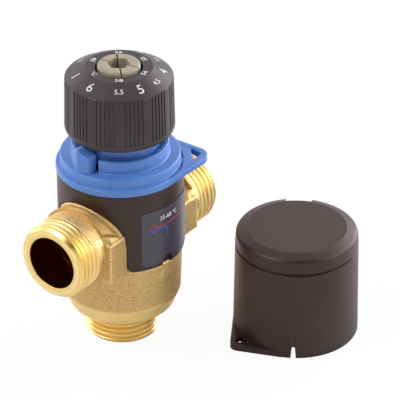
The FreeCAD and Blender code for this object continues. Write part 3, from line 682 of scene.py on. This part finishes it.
def build_thread_tree():
    tree, entry, leave = new_tree("pipe_thread", "Geometry", {
        "Geometry": None, "Crest Radius": 13.2 * MM, "Root Radius": 12.06 * MM,
        "Pitch": 2.0 * MM, "Turns": 8, "Columns": 144}, ["Geometry"], "Geometry")
    grid = add_node(tree, "GeometryNodeMeshGrid", {
        "Size X": 1.0, "Size Y": 1.0, "Vertices X": calc(tree, "ADD", entry["Columns"], 1),
        "Vertices Y": calc(tree, "MULTIPLY_ADD", entry["Turns"], 12, 1)})
    place = add_node(tree, "GeometryNodeInputPosition")
    parts = add_node(tree, "ShaderNodeSeparateXYZ", {0: place.outputs[0]})
    turn = calc(tree, "ADD", parts.outputs["X"], 0.5)
    along = calc(tree, "MULTIPLY", calc(tree, "ADD", parts.outputs["Y"], 0.5), entry["Turns"])
    wave = calc(tree, "MULTIPLY", calc(tree, "PINGPONG", along, 0.5), 2.0)
    crown = add_node(tree, "ShaderNodeMapRange",
                     {"Value": wave, "From Min": 0.08, "From Max": 0.86},
                     interpolation_type="SMOOTHSTEP")
    depth = calc(tree, "SUBTRACT", entry["Crest Radius"], entry["Root Radius"])
    radius = calc(tree, "ADD", calc(tree, "MULTIPLY", crown.outputs[0], depth),
                  entry["Root Radius"])
    rise = calc(tree, "MULTIPLY", calc(tree, "ADD", along, turn), entry["Pitch"])
    spot = around(tree, radius, calc(tree, "MULTIPLY", turn, 2 * math.pi), rise)
    bend = add_node(tree, "GeometryNodeSetPosition",
                    {"Geometry": grid.outputs["Mesh"], "Position": spot})
    close = add_node(tree, "GeometryNodeMergeByDistance",
                     {"Geometry": bend.outputs[0], "Distance": 0.002 * MM})
    end_tree(tree, leave, close.outputs[0], turned_brass)
    return tree


thread_tree = build_thread_tree()
print("thread tree has", len(thread_tree.nodes), "nodes")

# %% Grow a threaded rod from the tree
def grow(name, tree, base=None, **inputs):
    """Runs a geometry tree with named inputs and keeps the result as a plain mesh."""
    made = base or new_object(name, bpy.data.meshes.new(name))
    step = made.modifiers.new(name, "NODES")
    step.node_group = tree
    for socket in tree.interface.items_tree:
        wanted = inputs.get(socket.name.replace(" ", "_"))
        if wanted is not None:
            step[socket.identifier] = wanted
    return settle(made)


def threaded_rod(name, low, high, pitch, crest, crest_turn):
    """Closed rod in mm with a thread whose crest passes a height at a share of the turn."""
    before = int((crest - low) / pitch) + 3
    turns = before + int((high - crest) / pitch) + 3
    start = crest - (before + 0.5 + crest_turn) * pitch
    rod = grow(name, thread_tree, Crest_Radius=thread_r * MM, Pitch=pitch * MM, Turns=turns)
    rod.data.transform(Matrix.Translation((0, 0, start * MM)))
    bm = bmesh.new()
    bm.from_mesh(rod.data)
    for height, way in ((low, -1), (high, 1)):
        bmesh.ops.bisect_plane(bm, geom=bm.verts[:] + bm.edges[:] + bm.faces[:],
                               plane_co=(0, 0, height * MM), plane_no=(0, 0, way),
                               clear_outer=True)
        rim = [e for e in bm.edges if e.is_boundary
               and abs(e.verts[0].co.z - height * MM) < 1e-6]
        bmesh.ops.edgeloop_fill(bm, edges=rim)
    rod.data = finished_mesh(bm, name)
    return rod


print("threaded rods ready")

# %% [markdown]
# ## The turned ends
# Each end is the threaded rod cut back to its envelope: end face, chamfer, bore. Behind the
# thread sits a plain collar with a rounded back, and a hidden tail reaches into the casting.
# The sum of height and radius, stored on the mesh, is what the turning lines follow.

# %% Make the side ports
def store_lathe_pos(obj):
    """Writes lathe_pos, height plus radius, for a piece turned about Z, and marks its bore."""
    x, y, z = mesh_points(obj.data).T
    store_values(obj.data, "lathe_pos", np.hypot(x, y) + z)
    store_inside(obj, [((0, 0, 0), (0, 0, 1), bore_r + 0.1, 99)])


def port_end(name, rod, envelope, back, segments, place=Matrix.Identity(4)):
    """Threaded rod cut back to its envelope, with the turned part behind it, put in place."""
    end = threaded_rod(name, *rod)
    combine(end, lathe("envelope", envelope, 144), "INTERSECT")
    combine(end, lathe("back", back, segments), "UNION")
    store_lathe_pos(end)
    end.data.transform(place)
    finish_piece(end, turned_brass, "valve", ["valve_body"], smooth=35)


end_x = port_x / MM
thread_from = end_x - 10.3
clear_r, chamfer_r, collar_r = 13.5, 12.1, 13.1
for name, place in side_ports.items():
    port_end(name + "_port_end",
             (thread_from - 0.5, end_x + 0.5, 2.07, end_x - 1.2, 0.25),
             [(bore_r, thread_from, 0), (clear_r, thread_from, 0), (clear_r, end_x - 1.4, 0),
              (chamfer_r, end_x, 0.12), (bore_r, end_x, 0.45)],
             [(bore_r, collar_x, 0), (10.0, collar_x, 0), (10.0, collar_x - 2.5, 0),
              (12.0, collar_x - 2.5, 0), (12.0, collar_x, 0), (collar_r, collar_x, 0.6),
              (collar_r, thread_from + 0.4, 0.25), (bore_r, thread_from + 0.4, 0)],
             144, place)

# %% Make the bottom port and its shoulder
relief_r, shoulder_z = 12.3, 11.7
port_end("bottom_port_end", (-0.5, 10.5, 1.94, 1.65, view_turn / (2 * math.pi)),
         [(bore_r, 0.0, 0.45), (chamfer_r, 0.0, 0.12), (clear_r, 1.4, 0), (clear_r, 9.6, 0),
          (relief_r, 10.1, 0), (bore_r, 10.1, 0)],
         [(bore_r, 9.8, 0), (relief_r, 9.8, 0), (relief_r, shoulder_z, 0.3),
          (18.2, shoulder_z, 0.35), (20.4, 17.2, 0.12), (20.3, 17.5, 0), (12.0, 17.5, 0),
          (12.0, 16.0, 0), (bore_r, 16.0, 0)], 192)

# %% [markdown]
# The casting runs out over the last turns of the mixed port's thread as a low apron, on the
# upper side only. It is a sector of a turned ring with the casting's finish and soft edges.

# %% Cover the back of the mixed port's thread
hood = lathe("mixed_port_hood", [(11.9, 23.6, 0), (13.36, 23.6, 0.2), (13.36, 30.6, 0.3),
                                 (11.9, 30.6, 0)], 192)
fan = [(0, 0)] + [polar(22, angle) for angle in range(124, 237, 14)]
combine(hood, prism("fan", fan, 20, 40), "INTERSECT")
hood.data.transform(side_ports["mixed"])
soften(hood, 0.22, 50)
store_edges(hood, 0.10 * MM)
finish_piece(hood, cast_brass, "valve", ["valve_body"], smooth=50)

# %% [markdown]
# ## The cover sleeve
# The sleeve is a thin moulded tube with a large arch over each side port and a blind dimple
# at its lower edge. A lathe makes the tube, two cutters open it, and a bevel softens the cuts.

# %% Make the sleeve
def arch_outline(half, corner, low, spring, steps=32):
    """Outline of an arch with flared feet, in mm, as (across, height)."""
    points = [(-half - corner, low - 2), (-half - corner, low)]
    for step in range(1, 7):
        angle = math.radians(90 * step / 6)
        points.append((-half - corner + corner * math.sin(angle),
                       low + corner - corner * math.cos(angle)))
    for step in range(steps + 1):
        angle = math.pi - math.pi * step / steps
        points.append((half * math.cos(angle), spring + half * math.sin(angle)))
    return points + [(-x, y) for x, y in reversed(points[:8])]


sleeve_z = (sleeve_low.z / MM, sleeve_high.z / MM)
sleeve_r = sleeve_high.y / MM
sleeve = lathe("cover_sleeve_skin", [
    (20.05, sleeve_z[0], 0.2), (sleeve_r, sleeve_z[0], 0.3), (sleeve_r, sleeve_z[1], 0.4),
    (18.0, sleeve_z[1], 0.2), (18.0, 62.0, 0.2), (20.05, 62.0, 0)], 256)
upright_x = Matrix(((0, 0, 1, 0), (1, 0, 0, 0), (0, 1, 0, 0), (0, 0, 0, 1)))
arch_half, arch_flare, arch_spring_z = 15.0, 2.0, 44.4
arches = arch_outline(arch_half, arch_flare, sleeve_z[0], arch_spring_z)
combine(sleeve, prism("arches", arches, -24, 24, upright_x))
dimple = bar("dimple", 2.4, sleeve_r - 1.2, 26.0, port_place(36.1 * MM, mark_turn), 48)
combine(sleeve, dimple)
soften(sleeve, 0.22, 45)
finish_piece(sleeve, moulded["black_plastic"], "valve", ["cover_sleeve"])

# %% [markdown]
# ## The blue ring
# The ring is one moulding: a flange, a step, a wall with a groove behind it, and a collar for
# the knob. Its gabled pointer and its eye for a sealing wire are made as closed shells of
# their own that reach into it, which keeps the edges of each easy to round.

# %% Turn the ring and open its wall
def sector(name, inner, outer, start, end, low, high, steps=24):
    """Closed ring sector in mm and degrees."""
    turns = [start + (end - start) * k / steps for k in range(steps + 1)]
    points = [polar(outer, turn) for turn in turns]
    points += [polar(inner, turn) for turn in reversed(turns)]
    return prism(name, points, low, high)


flange_r = 22.09
flange_top_z, step_top_z, wall_top_z, collar_top_z = 67.1, 70.5, 75.2, 81.6
pointer_turn = 173
ring = lathe("index_ring_skin", [
    (19.0, ring_z, 0), (flange_r, ring_z, 0.3), (flange_r, flange_top_z, 0.5),
    (20.6, flange_top_z, 0.25), (20.6, step_top_z, 0.5), (16.7, step_top_z, 0.6),
    (16.7, wall_top_z, 0.4), (15.2, wall_top_z, 0.4), (15.2, 73.4, 0.3), (13.8, 73.4, 0.3),
    (13.8, collar_top_z, 0.3), (12.21, collar_top_z, 0.2), (12.21, 71.8, 0.2),
    (15.2, 71.8, 0), (15.2, 68.9, 0), (19.0, 68.9, 0.3)], 256)
combine(ring, sector("gap", 13.95, 17.8, 178, 192, step_top_z + 0.02, 76.5))
soften(ring, 0.15, 50)
print("ring has", len(ring.data.polygons), "faces")

# %% Add the pointer, the eye, the stop and the keys
def merge_in(obj, other):
    """Adds another closed shell to the same mesh."""
    bm = bmesh.new()
    bm.from_mesh(obj.data)
    bm.from_mesh(other.data)
    obj.data = bpy.data.meshes.new(obj.name)
    bm.to_mesh(obj.data)
    bm.free()
    bpy.data.objects.remove(other)


def pointer_shell():
    """Folded front under a gabled top, made about +X and turned into place."""
    side, ridge, back, half = 19.0, 20.6, 15.4, 4.1
    low, shoulder, apex = step_top_z - 0.3, 76.86, 79.0
    bm = bmesh.new()
    rows = []
    for across, front, top in ((-half, side, shoulder), (0, ridge, apex), (half, side, shoulder)):
        rows.append([bm.verts.new((x * MM, across * MM, z * MM))
                     for x, z in ((back, low), (front, low), (front, top), (back, top))])
    sheath(bm, rows)
    made = new_object("pointer", finished_mesh(bm, "pointer"))
    soften(made, 0.3, 8, 3)
    made.data.transform(turned(pointer_turn))
    return made


def eye_shell(base, tip, reach, angle, low, high, hole_r, hole_half, inner):
    """Tapering tab with a rounded tip and a three-cornered hole, in mm and degrees."""
    spread = math.acos((base - tip) / reach)
    points = [(inner * math.cos(s * spread), inner * math.sin(s * spread)) for s in (1, -1)]
    points.append((base * math.cos(-spread), base * math.sin(-spread)))
    for step in range(17):
        turn = -spread + 2 * spread * step / 16
        points.append((reach + tip * math.cos(turn), tip * math.sin(turn)))
    points.append((base * math.cos(spread), base * math.sin(spread)))
    tab = prism("eye", points, low, high)
    corners = [(hole_r[0], -hole_half, 0.4), (hole_r[1], 0, 0.4), (hole_r[0], hole_half, 0.4)]
    hole = prism("eye_hole", [tuple(p) for p in rounded(corners)], low - 1, high + 1)
    combine(tab, hole)
    soften(tab, 0.3, 50, 3)
    tab.data.transform(turned(angle))
    return tab


merge_in(ring, pointer_shell())
merge_in(ring, eye_shell(base=flange_r, tip=5.0, reach=24.9, angle=-45.5, low=ring_z,
                         high=flange_top_z, hole_r=(24.5, 27.7), hole_half=4.2, inner=19.5))
merge_in(ring, sector("stop", 13.0, 16.3, 68.5, 96.5, 80.1, collar_top_z))
for key_turn in (0, 180):
    key = prism("key", [(15.4, -4), (19.2, -4), (19.2, 4), (15.4, 4)], ring_z + 0.02, 69.0)
    key.data.transform(turned(key_turn))
    merge_in(ring, key)
finish_piece(ring, moulded["blue_plastic"], "valve", ["index_ring"])

# %% [markdown]
# ## The knob
# The knob is turned from its outline, with soft shoulders as the mould leaves them. Twelve
# groups of five narrow grooves give grip. They follow a plain rule, so a Geometry Nodes tree
# sets a slab at each place and cuts them all from the knob at once.

# %% Build the groove tree
def build_groove_tree():
    tree, entry, leave = new_tree("grip_grooves", "Geometry", {
        "Geometry": None, "Groups": 12, "Per Group": 5, "Pitch Angle": math.radians(4.5),
        "First Angle": 0.0, "Radius": 18.9 * MM, "Middle Height": 92.0 * MM,
        "Slab Size": (1.2 * MM, 0.62 * MM, 18 * MM), "Lean": 0.0}, ["Geometry"], "Geometry")
    per_group = entry["Per Group"]
    index = add_node(tree, "GeometryNodeInputIndex").outputs[0]
    group = calc(tree, "FLOOR", calc(tree, "DIVIDE", index, per_group))
    member = calc(tree, "MODULO", index, per_group)
    middle = calc(tree, "DIVIDE", calc(tree, "SUBTRACT", per_group, 1), 2)
    group_turn = calc(tree, "MULTIPLY", group,
                      calc(tree, "DIVIDE", 2 * math.pi, entry["Groups"]))
    member_turn = calc(tree, "MULTIPLY", calc(tree, "SUBTRACT", member, middle),
                       entry["Pitch Angle"])
    angle = calc(tree, "ADD", entry["First Angle"], calc(tree, "ADD", group_turn, member_turn))
    spots = add_node(tree, "GeometryNodePoints", {
        "Count": calc(tree, "MULTIPLY", entry["Groups"], per_group),
        "Position": around(tree, entry["Radius"], angle, entry["Middle Height"])})
    turn = add_node(tree, "ShaderNodeCombineXYZ", {"Y": entry["Lean"], "Z": angle})
    slab = add_node(tree, "GeometryNodeMeshCube", {"Size": entry["Slab Size"]})
    lay = add_node(tree, "GeometryNodeInstanceOnPoints", {
        "Points": spots.outputs[0], "Instance": slab.outputs["Mesh"],
        "Rotation": turn.outputs[0]})
    real = add_node(tree, "GeometryNodeRealizeInstances", {"Geometry": lay.outputs[0]})
    cut = add_node(tree, "GeometryNodeMeshBoolean",
                   {"Mesh 1": entry["Geometry"], "Mesh 2": real.outputs[0]},
                   operation="DIFFERENCE", solver="EXACT")
    end_tree(tree, leave, cut.outputs["Mesh"], moulded["dial_plastic"])
    return tree


groove_tree = build_groove_tree()
print("groove tree has", len(groove_tree.nodes), "nodes")

# %% Turn the knob and cut its grooves
cone_foot, cone_head = (18.4, 99.4), (11.5, 103.0)
knob = lathe("adjusting_knob_skin", [
    (16.6, 80.1, 0.2), (18.4, 80.1, 0.4), (18.8, 81.2, 0.6), (*cone_foot, 0.7), (*cone_head, 0.6),
    (8.07, 103.0, 0.35), (8.07, 99.5, 0.1), (7.3, 99.5, 0.1), (7.3, 84.0, 0), (9.2, 84.0, 0.1),
    (9.2, 100.7, 0.3), (11.5, 100.7, 0.3), (16.6, 98.0, 0.3)], 360)
grow("grooves", groove_tree, knob, Pitch_Angle=math.radians(4.5),
     First_Angle=view_turn + math.radians(15), Radius=18.85 * MM, Middle_Height=91.4 * MM,
     Slab_Size=(1.1 * MM, 0.62 * MM, 18.0 * MM), Lean=-math.atan(0.4 / 17.0))
soften(knob, 0.07, 60, 1)
merge_in(knob, sector("rib", 14.1, 17.0, 52.5, 67.5, 80.12, 82.4))
finish_piece(knob, moulded["dial_plastic"], "knob", ["adjusting_knob"], smooth=35)

# %% [markdown]
# ## The printed numbers
# The numbers are printed on the cone and on the flat of the dial. Flat text becomes a mesh
# first. It is sliced finely, so that it can bend, and each point is then laid on the surface:
# across the text is a turn around the axis, and up the text is a step towards the middle.

# %% Text as a thin mesh
def text_mesh(name, text, size, thick=0.05):
    """Closed thin letters in mm, centred on the origin in X and Y."""
    curve = bpy.data.curves.new(name, "FONT")
    curve.body = text
    curve.size = size * MM
    curve.extrude = thick * MM / 2
    curve.align_x = "CENTER"
    curve.align_y = "CENTER"
    holder = new_object(name, curve)
    seen = bpy.context.evaluated_depsgraph_get()
    mesh = bpy.data.meshes.new_from_object(holder.evaluated_get(seen))
    bpy.data.objects.remove(holder)
    bm = bmesh.new()
    bm.from_mesh(mesh)
    bmesh.ops.remove_doubles(bm, verts=bm.verts, dist=1e-7)
    reach = max(abs(v.co.x) for v in bm.verts)
    for step in range(-12, 13):
        cut = step * 0.4 * MM
        if abs(cut) < reach:
            bmesh.ops.bisect_plane(bm, geom=bm.verts[:] + bm.edges[:] + bm.faces[:],
                                   plane_co=(cut, 0, 0), plane_no=(1, 0, 0))
    bm.to_mesh(mesh)
    bm.free()
    return mesh


def on_dial(mesh, radius, angle):
    """Lays flat letters on the dial at a radius in mm and an angle from the viewer."""
    fall = (cone_head[1] - cone_foot[1]) / (cone_foot[0] - cone_head[0])
    for vertex in mesh.vertices:
        x, y, lift = vertex.co
        away = radius * MM - y * math.cos(math.atan(fall))
        turn = view_turn + math.radians(angle) + x / (radius * MM)
        top = cone_head[1] * MM - max(0.0, away - cone_head[0] * MM) * fall
        vertex.co = (away * math.cos(turn), away * math.sin(turn), top + lift + 0.02 * MM)
    return mesh


def print_piece(name, meshes, finish, body):
    """Joins several printed marks into one piece."""
    bm = bmesh.new()
    for mesh in meshes:
        bm.from_mesh(mesh)
        bpy.data.meshes.remove(mesh)
    piece = new_object(name, finished_mesh(bm, name))
    finish_piece(piece, moulded[finish], body)


print("text helpers ready")

# %% Print the dial
# Each mark: text, angle in degrees, radius and letter size in mm.
numbers = [("6", 319.5, 14.9, 5.0), ("5", 28.5, 14.9, 5.0), ("4", 88, 15.1, 4.6),
           ("3", 150, 15.2, 4.2), ("2", 210, 15.2, 4.2), ("1", 282, 15.0, 4.7),
           ("5,5", 359.5, 14.8, 2.7), ("4,5", 57.5, 14.9, 2.6), ("3,5", 121, 15.1, 2.6),
           ("2,5", 180, 15.1, 2.6), ("1,5", 237, 15.1, 2.6),
           ("58", 359.5, 9.9, 2.9), ("54", 60, 9.9, 2.8), ("50", 120, 9.9, 2.8),
           ("45", 180, 9.9, 2.8), ("40", 240, 9.9, 2.8), ("°C", 300, 9.9, 2.7)]
marks = [on_dial(text_mesh("mark", text, size), radius, angle)
         for text, angle, radius, size in numbers]
print_piece("dial_numbers", marks, "white_print", "knob")

# %% [markdown]
# ## The slotted insert
# A pale plastic collet sits in the knob and grips the hexagon of the spindle. Two crossing
# slots let it spring. Its outline is turned, the hexagon and the slots are cut, and a bevel
# gives the cut edges the soft look of moulded nylon.

# %% Make the insert
insert = lathe("collet_insert_skin", [
    (0, 82.0, 0), (9.0, 82.0, 0.2), (9.0, 84.0, 0.1), (7.3, 84.0, 0), (7.3, 104.2, 0.9),
    (0, 104.2, 0)], 128)
hexagon = [polar(3.93, 60 * k) for k in range(6)]
combine(insert, prism("hexagon", hexagon, 81, 105))
for slot_turn in (44.2, 103.2):
    slab = prism("slot", [(-10, -0.27), (10, -0.27), (10, 0.27), (-10, 0.27)], 95.2, 105.2)
    slab.data.transform(turned(slot_turn))
    combine(insert, slab)
soften(insert, 0.25, 50, 3)
finish_piece(insert, moulded["cream_plastic"], "knob", ["collet_insert"])

# %% [markdown]
# ## The protective cap
# The cap is a deep moulded cup that stands on its open rim. Its outline carries a fine step
# near the top, and it has a slot, an eye for the sealing wire and a shallow notch. It is
# turned about its own axis and moved into place at the end.

# %% Make the cap
cap_centre = Vector((35.9 * MM, -48.9 * MM, 0))
notch_turn = 33
cap = lathe("protective_cap_skin", [
    (20.8, 0, 0.2), (21.9, 0, 0.3), (21.4, 33.1, 0.15), (20.75, 33.3, 0.1), (20.75, 34.1, 0.1),
    (21.4, 34.3, 0.15), (21.1, 38.9, 1.8), (17.2, 40.2, 0.3), (12, 40.2, 0), (6, 40.2, 0),
    (0, 40.2, 0), (0, 38.2, 0), (17.2, 38.2, 0.3), (19.6, 37.4, 0.3), (19.6, 6.2, 0),
    (20.8, 5.0, 0)], 256)
cap_slot = prism("slot", [(-1.0, -1), (1.0, -1), (0.6, 4.1), (0.42, 4.52), (0, 4.7),
                          (-0.42, 4.52), (-0.6, 4.1)], 18.8, 23.0, upright_x)
cap_slot.data.transform(turned(notch_turn + 180))
combine(cap, cap_slot)
for name, outline, low_z, high_z, way in (
        ("pad", [(15.7, -6), (19.7, -6), (19.7, 6), (15.7, 6)], 36.1, 38.3, "UNION"),
        ("notch", [(17.2, -4.5), (23, -4.5), (23, 4.5), (17.2, 4.5)], 37.6, 42.0, "DIFFERENCE")):
    block = prism(name, outline, low_z, high_z)
    block.data.transform(turned(notch_turn))
    combine(cap, block, way)
soften(cap, 0.12, 55)
merge_in(cap, eye_shell(base=21.9, tip=3.0, reach=24.6, angle=162, low=0, high=2.3,
                        hole_r=(22.3, 26.1), hole_half=2.6, inner=21.2))
peg = lathe("peg", [(0, 32.2, 0), (2.95, 32.2, 0.3), (2.95, 38.3, 0), (0, 38.3, 0)], 48)
merge_in(cap, peg)
cap.data.transform(Matrix.Translation(cap_centre))
finish_piece(cap, moulded["cap_plastic"], "cap", ["protective_cap"])

# %% [markdown]
# ## The label
# The label's film is the frame's own solid with a better finish. On it a plain flow arrow is
# printed in outline, red for hot and blue for cold, with the range of temperatures over it.
# The strokes are thin strips bent around the sleeve.

# %% Bend strokes and letters around the sleeve
def around_sleeve(mesh, across, height):
    """Lays a flat mesh on the label; across runs along the arc from its middle, in mm."""
    for vertex in mesh.vertices:
        x, y, lift = vertex.co
        turn = -math.pi / 2 + (x + across * MM) / label_r
        away = label_r + lift
        vertex.co = (away * math.cos(turn), away * math.sin(turn), height * MM + y)
    return mesh


def stroke_mesh(points, width, thick=0.05):
    """Thin closed strip along a line of (across, height) points in mm."""
    bm = bmesh.new()
    line = [Vector(p) for p in points]
    fine = []
    for one, two in zip(line, line[1:]):
        steps = max(1, int((two - one).length / 0.5))
        fine += [one.lerp(two, k / steps) for k in range(steps)]
    fine.append(line[-1])
    rows = []
    for index, here in enumerate(fine):
        ahead = fine[min(index + 1, len(fine) - 1)] - here
        behind = here - fine[max(index - 1, 0)]
        run = (ahead.normalized() + behind.normalized()).normalized()
        grow_by = 1 / max(0.5, run.dot((ahead if ahead.length else behind).normalized()))
        side = Vector((-run.y, run.x)) * width / 2 * grow_by
        rows.append([bm.verts.new(((here.x + s * side.x) * MM, (here.y + s * side.y) * MM,
                                   lift * MM))
                     for s, lift in ((1, -thick / 2), (-1, -thick / 2), (-1, thick / 2),
                                     (1, thick / 2))])
    sheath(bm, rows)
    return finished_mesh(bm, "stroke")


red_line = [(-10.2, 50.4), (-7.8, 52.3), (-7.6, 50.9), (-3.4, 50.8), (0.1, 51.05), (6.5, 51.4)]
blue_line = [(-10.2, 50.4), (-7.8, 48.9), (-7.6, 50.5), (-3.9, 50.1), (-2.9, 49.3), (-2.5, 48.2),
             (-2.5, 46.1)]
for name, line, finish in (("flow_arrow_hot", red_line, "red_print"),
                           ("flow_arrow_cold", blue_line, "blue_print")):
    print_piece(name, [around_sleeve(stroke_mesh(line, 0.38), 0, 0)], finish, "valve")
print_piece("label_numbers", [around_sleeve(text_mesh("range", "35-60 °C", 2.3), -1.7, 53.7)],
            "white_print", "valve")

# %% [markdown]
# ## Inside parts
# The bonnet, the spindle, the seals and the springs keep the frame's own solids. Each gets
# the finish that it has on a real valve.

# %% Dress the inside parts
inside = {
    turned_brass: ["bonnet", "spindle", "setting_nut", "overload_plunger", "sensing_element"],
    spring_steel: ["plunger_retainer", "element_pin", "spindle_circlip", "overload_spring",
                   "return_spring"],
    moulded["white_plastic"]: ["hot_seat", "seat_cage", "control_shuttle"],
    moulded["seal_rubber"]: ["shuttle_o_ring", "bonnet_o_ring", "spindle_o_ring_lower",
                             "spindle_o_ring_upper"],
    moulded["label_film"]: ["flow_label"],
}
for finish, node_names in inside.items():
    for node_name in node_names:
        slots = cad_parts[node_name].data.materials
        if len(slots):
            for index in range(len(slots)):
                slots[index] = finish
        else:
            slots.append(finish)
print("dressed", sum(map(len, inside.values())), "solids of the frame")

# %% [markdown]
# The two springs shorten when the part that leans on them moves. Each is shown as a copy of its
# solid with the spring steel finish, and the solid itself is hidden; the copies keep their shape.

# %% Copy the springs
for node_name, low_body, high_body in (("overload_spring", "plunger", "nut"),
                                       ("return_spring", "valve", "shuttle")):
    coil = node_copy(node_name, node_name + "_coil")
    shade(coil, spring_steel, 50)
    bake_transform(coil)
    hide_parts(node_name)
    print(coil.name, "bends between", low_body, "and", high_body)

# %% [markdown]
# ## The studio
# A plain pale floor and a white surround, as for a catalogue picture. The surround is seen by
# the camera and by shiny surfaces at a strength of one, and lights the object less, so that
# the softboxes can give the shapes their shade. The floor keeps a faint shadow.

# %% Floor and surround
def make_card(name, size, material):
    """Flat square with one material, for the studio."""
    bm = bmesh.new()
    bmesh.ops.create_grid(bm, x_segments=1, y_segments=1, size=size)
    card = new_object(name, finished_mesh(bm, name))
    card.data.materials.append(material)
    return card


def make_floor():
    """Pale floor that looks mostly white to the camera and keeps a faint shadow."""
    material, tree, surface = new_material("pale_floor", Base_Color=(0.86, 0.86, 0.86, 1),
                                           Roughness=0.9)
    glow = add_node(tree, "ShaderNodeEmission", {"Color": (1, 1, 1, 1), "Strength": 1.0})
    path = add_node(tree, "ShaderNodeLightPath")
    white_share = calc(tree, "MULTIPLY", path.outputs["Is Camera Ray"], 0.93)
    blend = add_node(tree, "ShaderNodeMixShader",
                     {0: white_share, 1: surface.outputs[0], 2: glow.outputs[0]})
    leave = next(n for n in tree.nodes if n.type == "OUTPUT_MATERIAL")
    join(tree, blend.outputs[0], leave.inputs["Surface"])
    make_card("floor", 2.0, material)


def make_world():
    world = bpy.data.worlds.new("studio")
    bpy.context.scene.world = world
    world.use_nodes = True
    tree = world.node_tree
    tree.nodes.clear()
    path = add_node(tree, "ShaderNodeLightPath").outputs
    seen = calc(tree, "MAXIMUM", path["Is Camera Ray"], path["Is Glossy Ray"])
    through = calc(tree, "MAXIMUM", seen, path["Is Transmission Ray"])
    sky = add_node(tree, "ShaderNodeBackground",
                   {"Color": (1, 1, 1, 1), "Strength": spread(tree, through, 0.55, 1.0)})
    add_node(tree, "ShaderNodeOutputWorld", {"Surface": sky.outputs[0]})


def make_flag():
    """Dark card over the front, hidden from the camera, that shades what faces it."""
    material = new_material("dark_card", Base_Color=(0.02, 0.02, 0.02, 1), Roughness=0.9)[0]
    flag = make_card("flag", 0.7, material)
    facing = Vector((math.cos(view_turn), math.sin(view_turn), 1.0)).normalized()
    flag.matrix_world = (Matrix.Translation(facing * 1.35)
                         @ facing.to_track_quat("Z", "Y").to_matrix().to_4x4())
    flag.visible_camera = False


make_floor()
make_world()
make_flag()
print("floor, surround and flag ready")

# %% Lights and camera
def put(name, data, place, target):
    """Stands a light or a camera at a place and turns it to a target."""
    holder = bpy.data.objects.new(name, data)
    bpy.context.scene.collection.objects.link(holder)
    holder.location = place
    aim = Vector(target) - Vector(place)
    holder.rotation_euler = aim.to_track_quat("-Z", "Y").to_euler()
    return holder, aim.length


# Each softbox: place, width and height in metres, power in watts.
softboxes = {"key": ((-0.55, 0.25, 0.75), (0.5, 0.5), 4.0),
             "side": ((0.35, -0.75, 0.45), (0.3, 0.5), 2.5),
             "right": ((0.90, -0.25, 0.35), (0.8, 0.8), 9.5),
             "left": ((0.00, 0.90, 0.35), (0.6, 0.6), 2.4)}
object_middle = (0.01, -0.02, 0.05)
for name, (place, size, power) in softboxes.items():
    lamp = bpy.data.lights.new(name, "AREA")
    lamp.shape = "RECTANGLE"
    lamp.size, lamp.size_y = size
    lamp.energy = power
    put(name, lamp, place, object_middle)

camera_data = bpy.data.cameras.new("camera")
camera_data.lens = 276.46
camera_data.sensor_width = 36.0
camera_data.clip_end = 20.0
camera, distance = put("camera", camera_data, (-0.70882, -0.558388, 0.59774),
                       (0.018424, -0.020132, 0.048977))
bpy.context.scene.camera = camera
bpy.context.scene.view_settings.view_transform = "Standard"
print("camera stands", round(distance, 3), "m away")
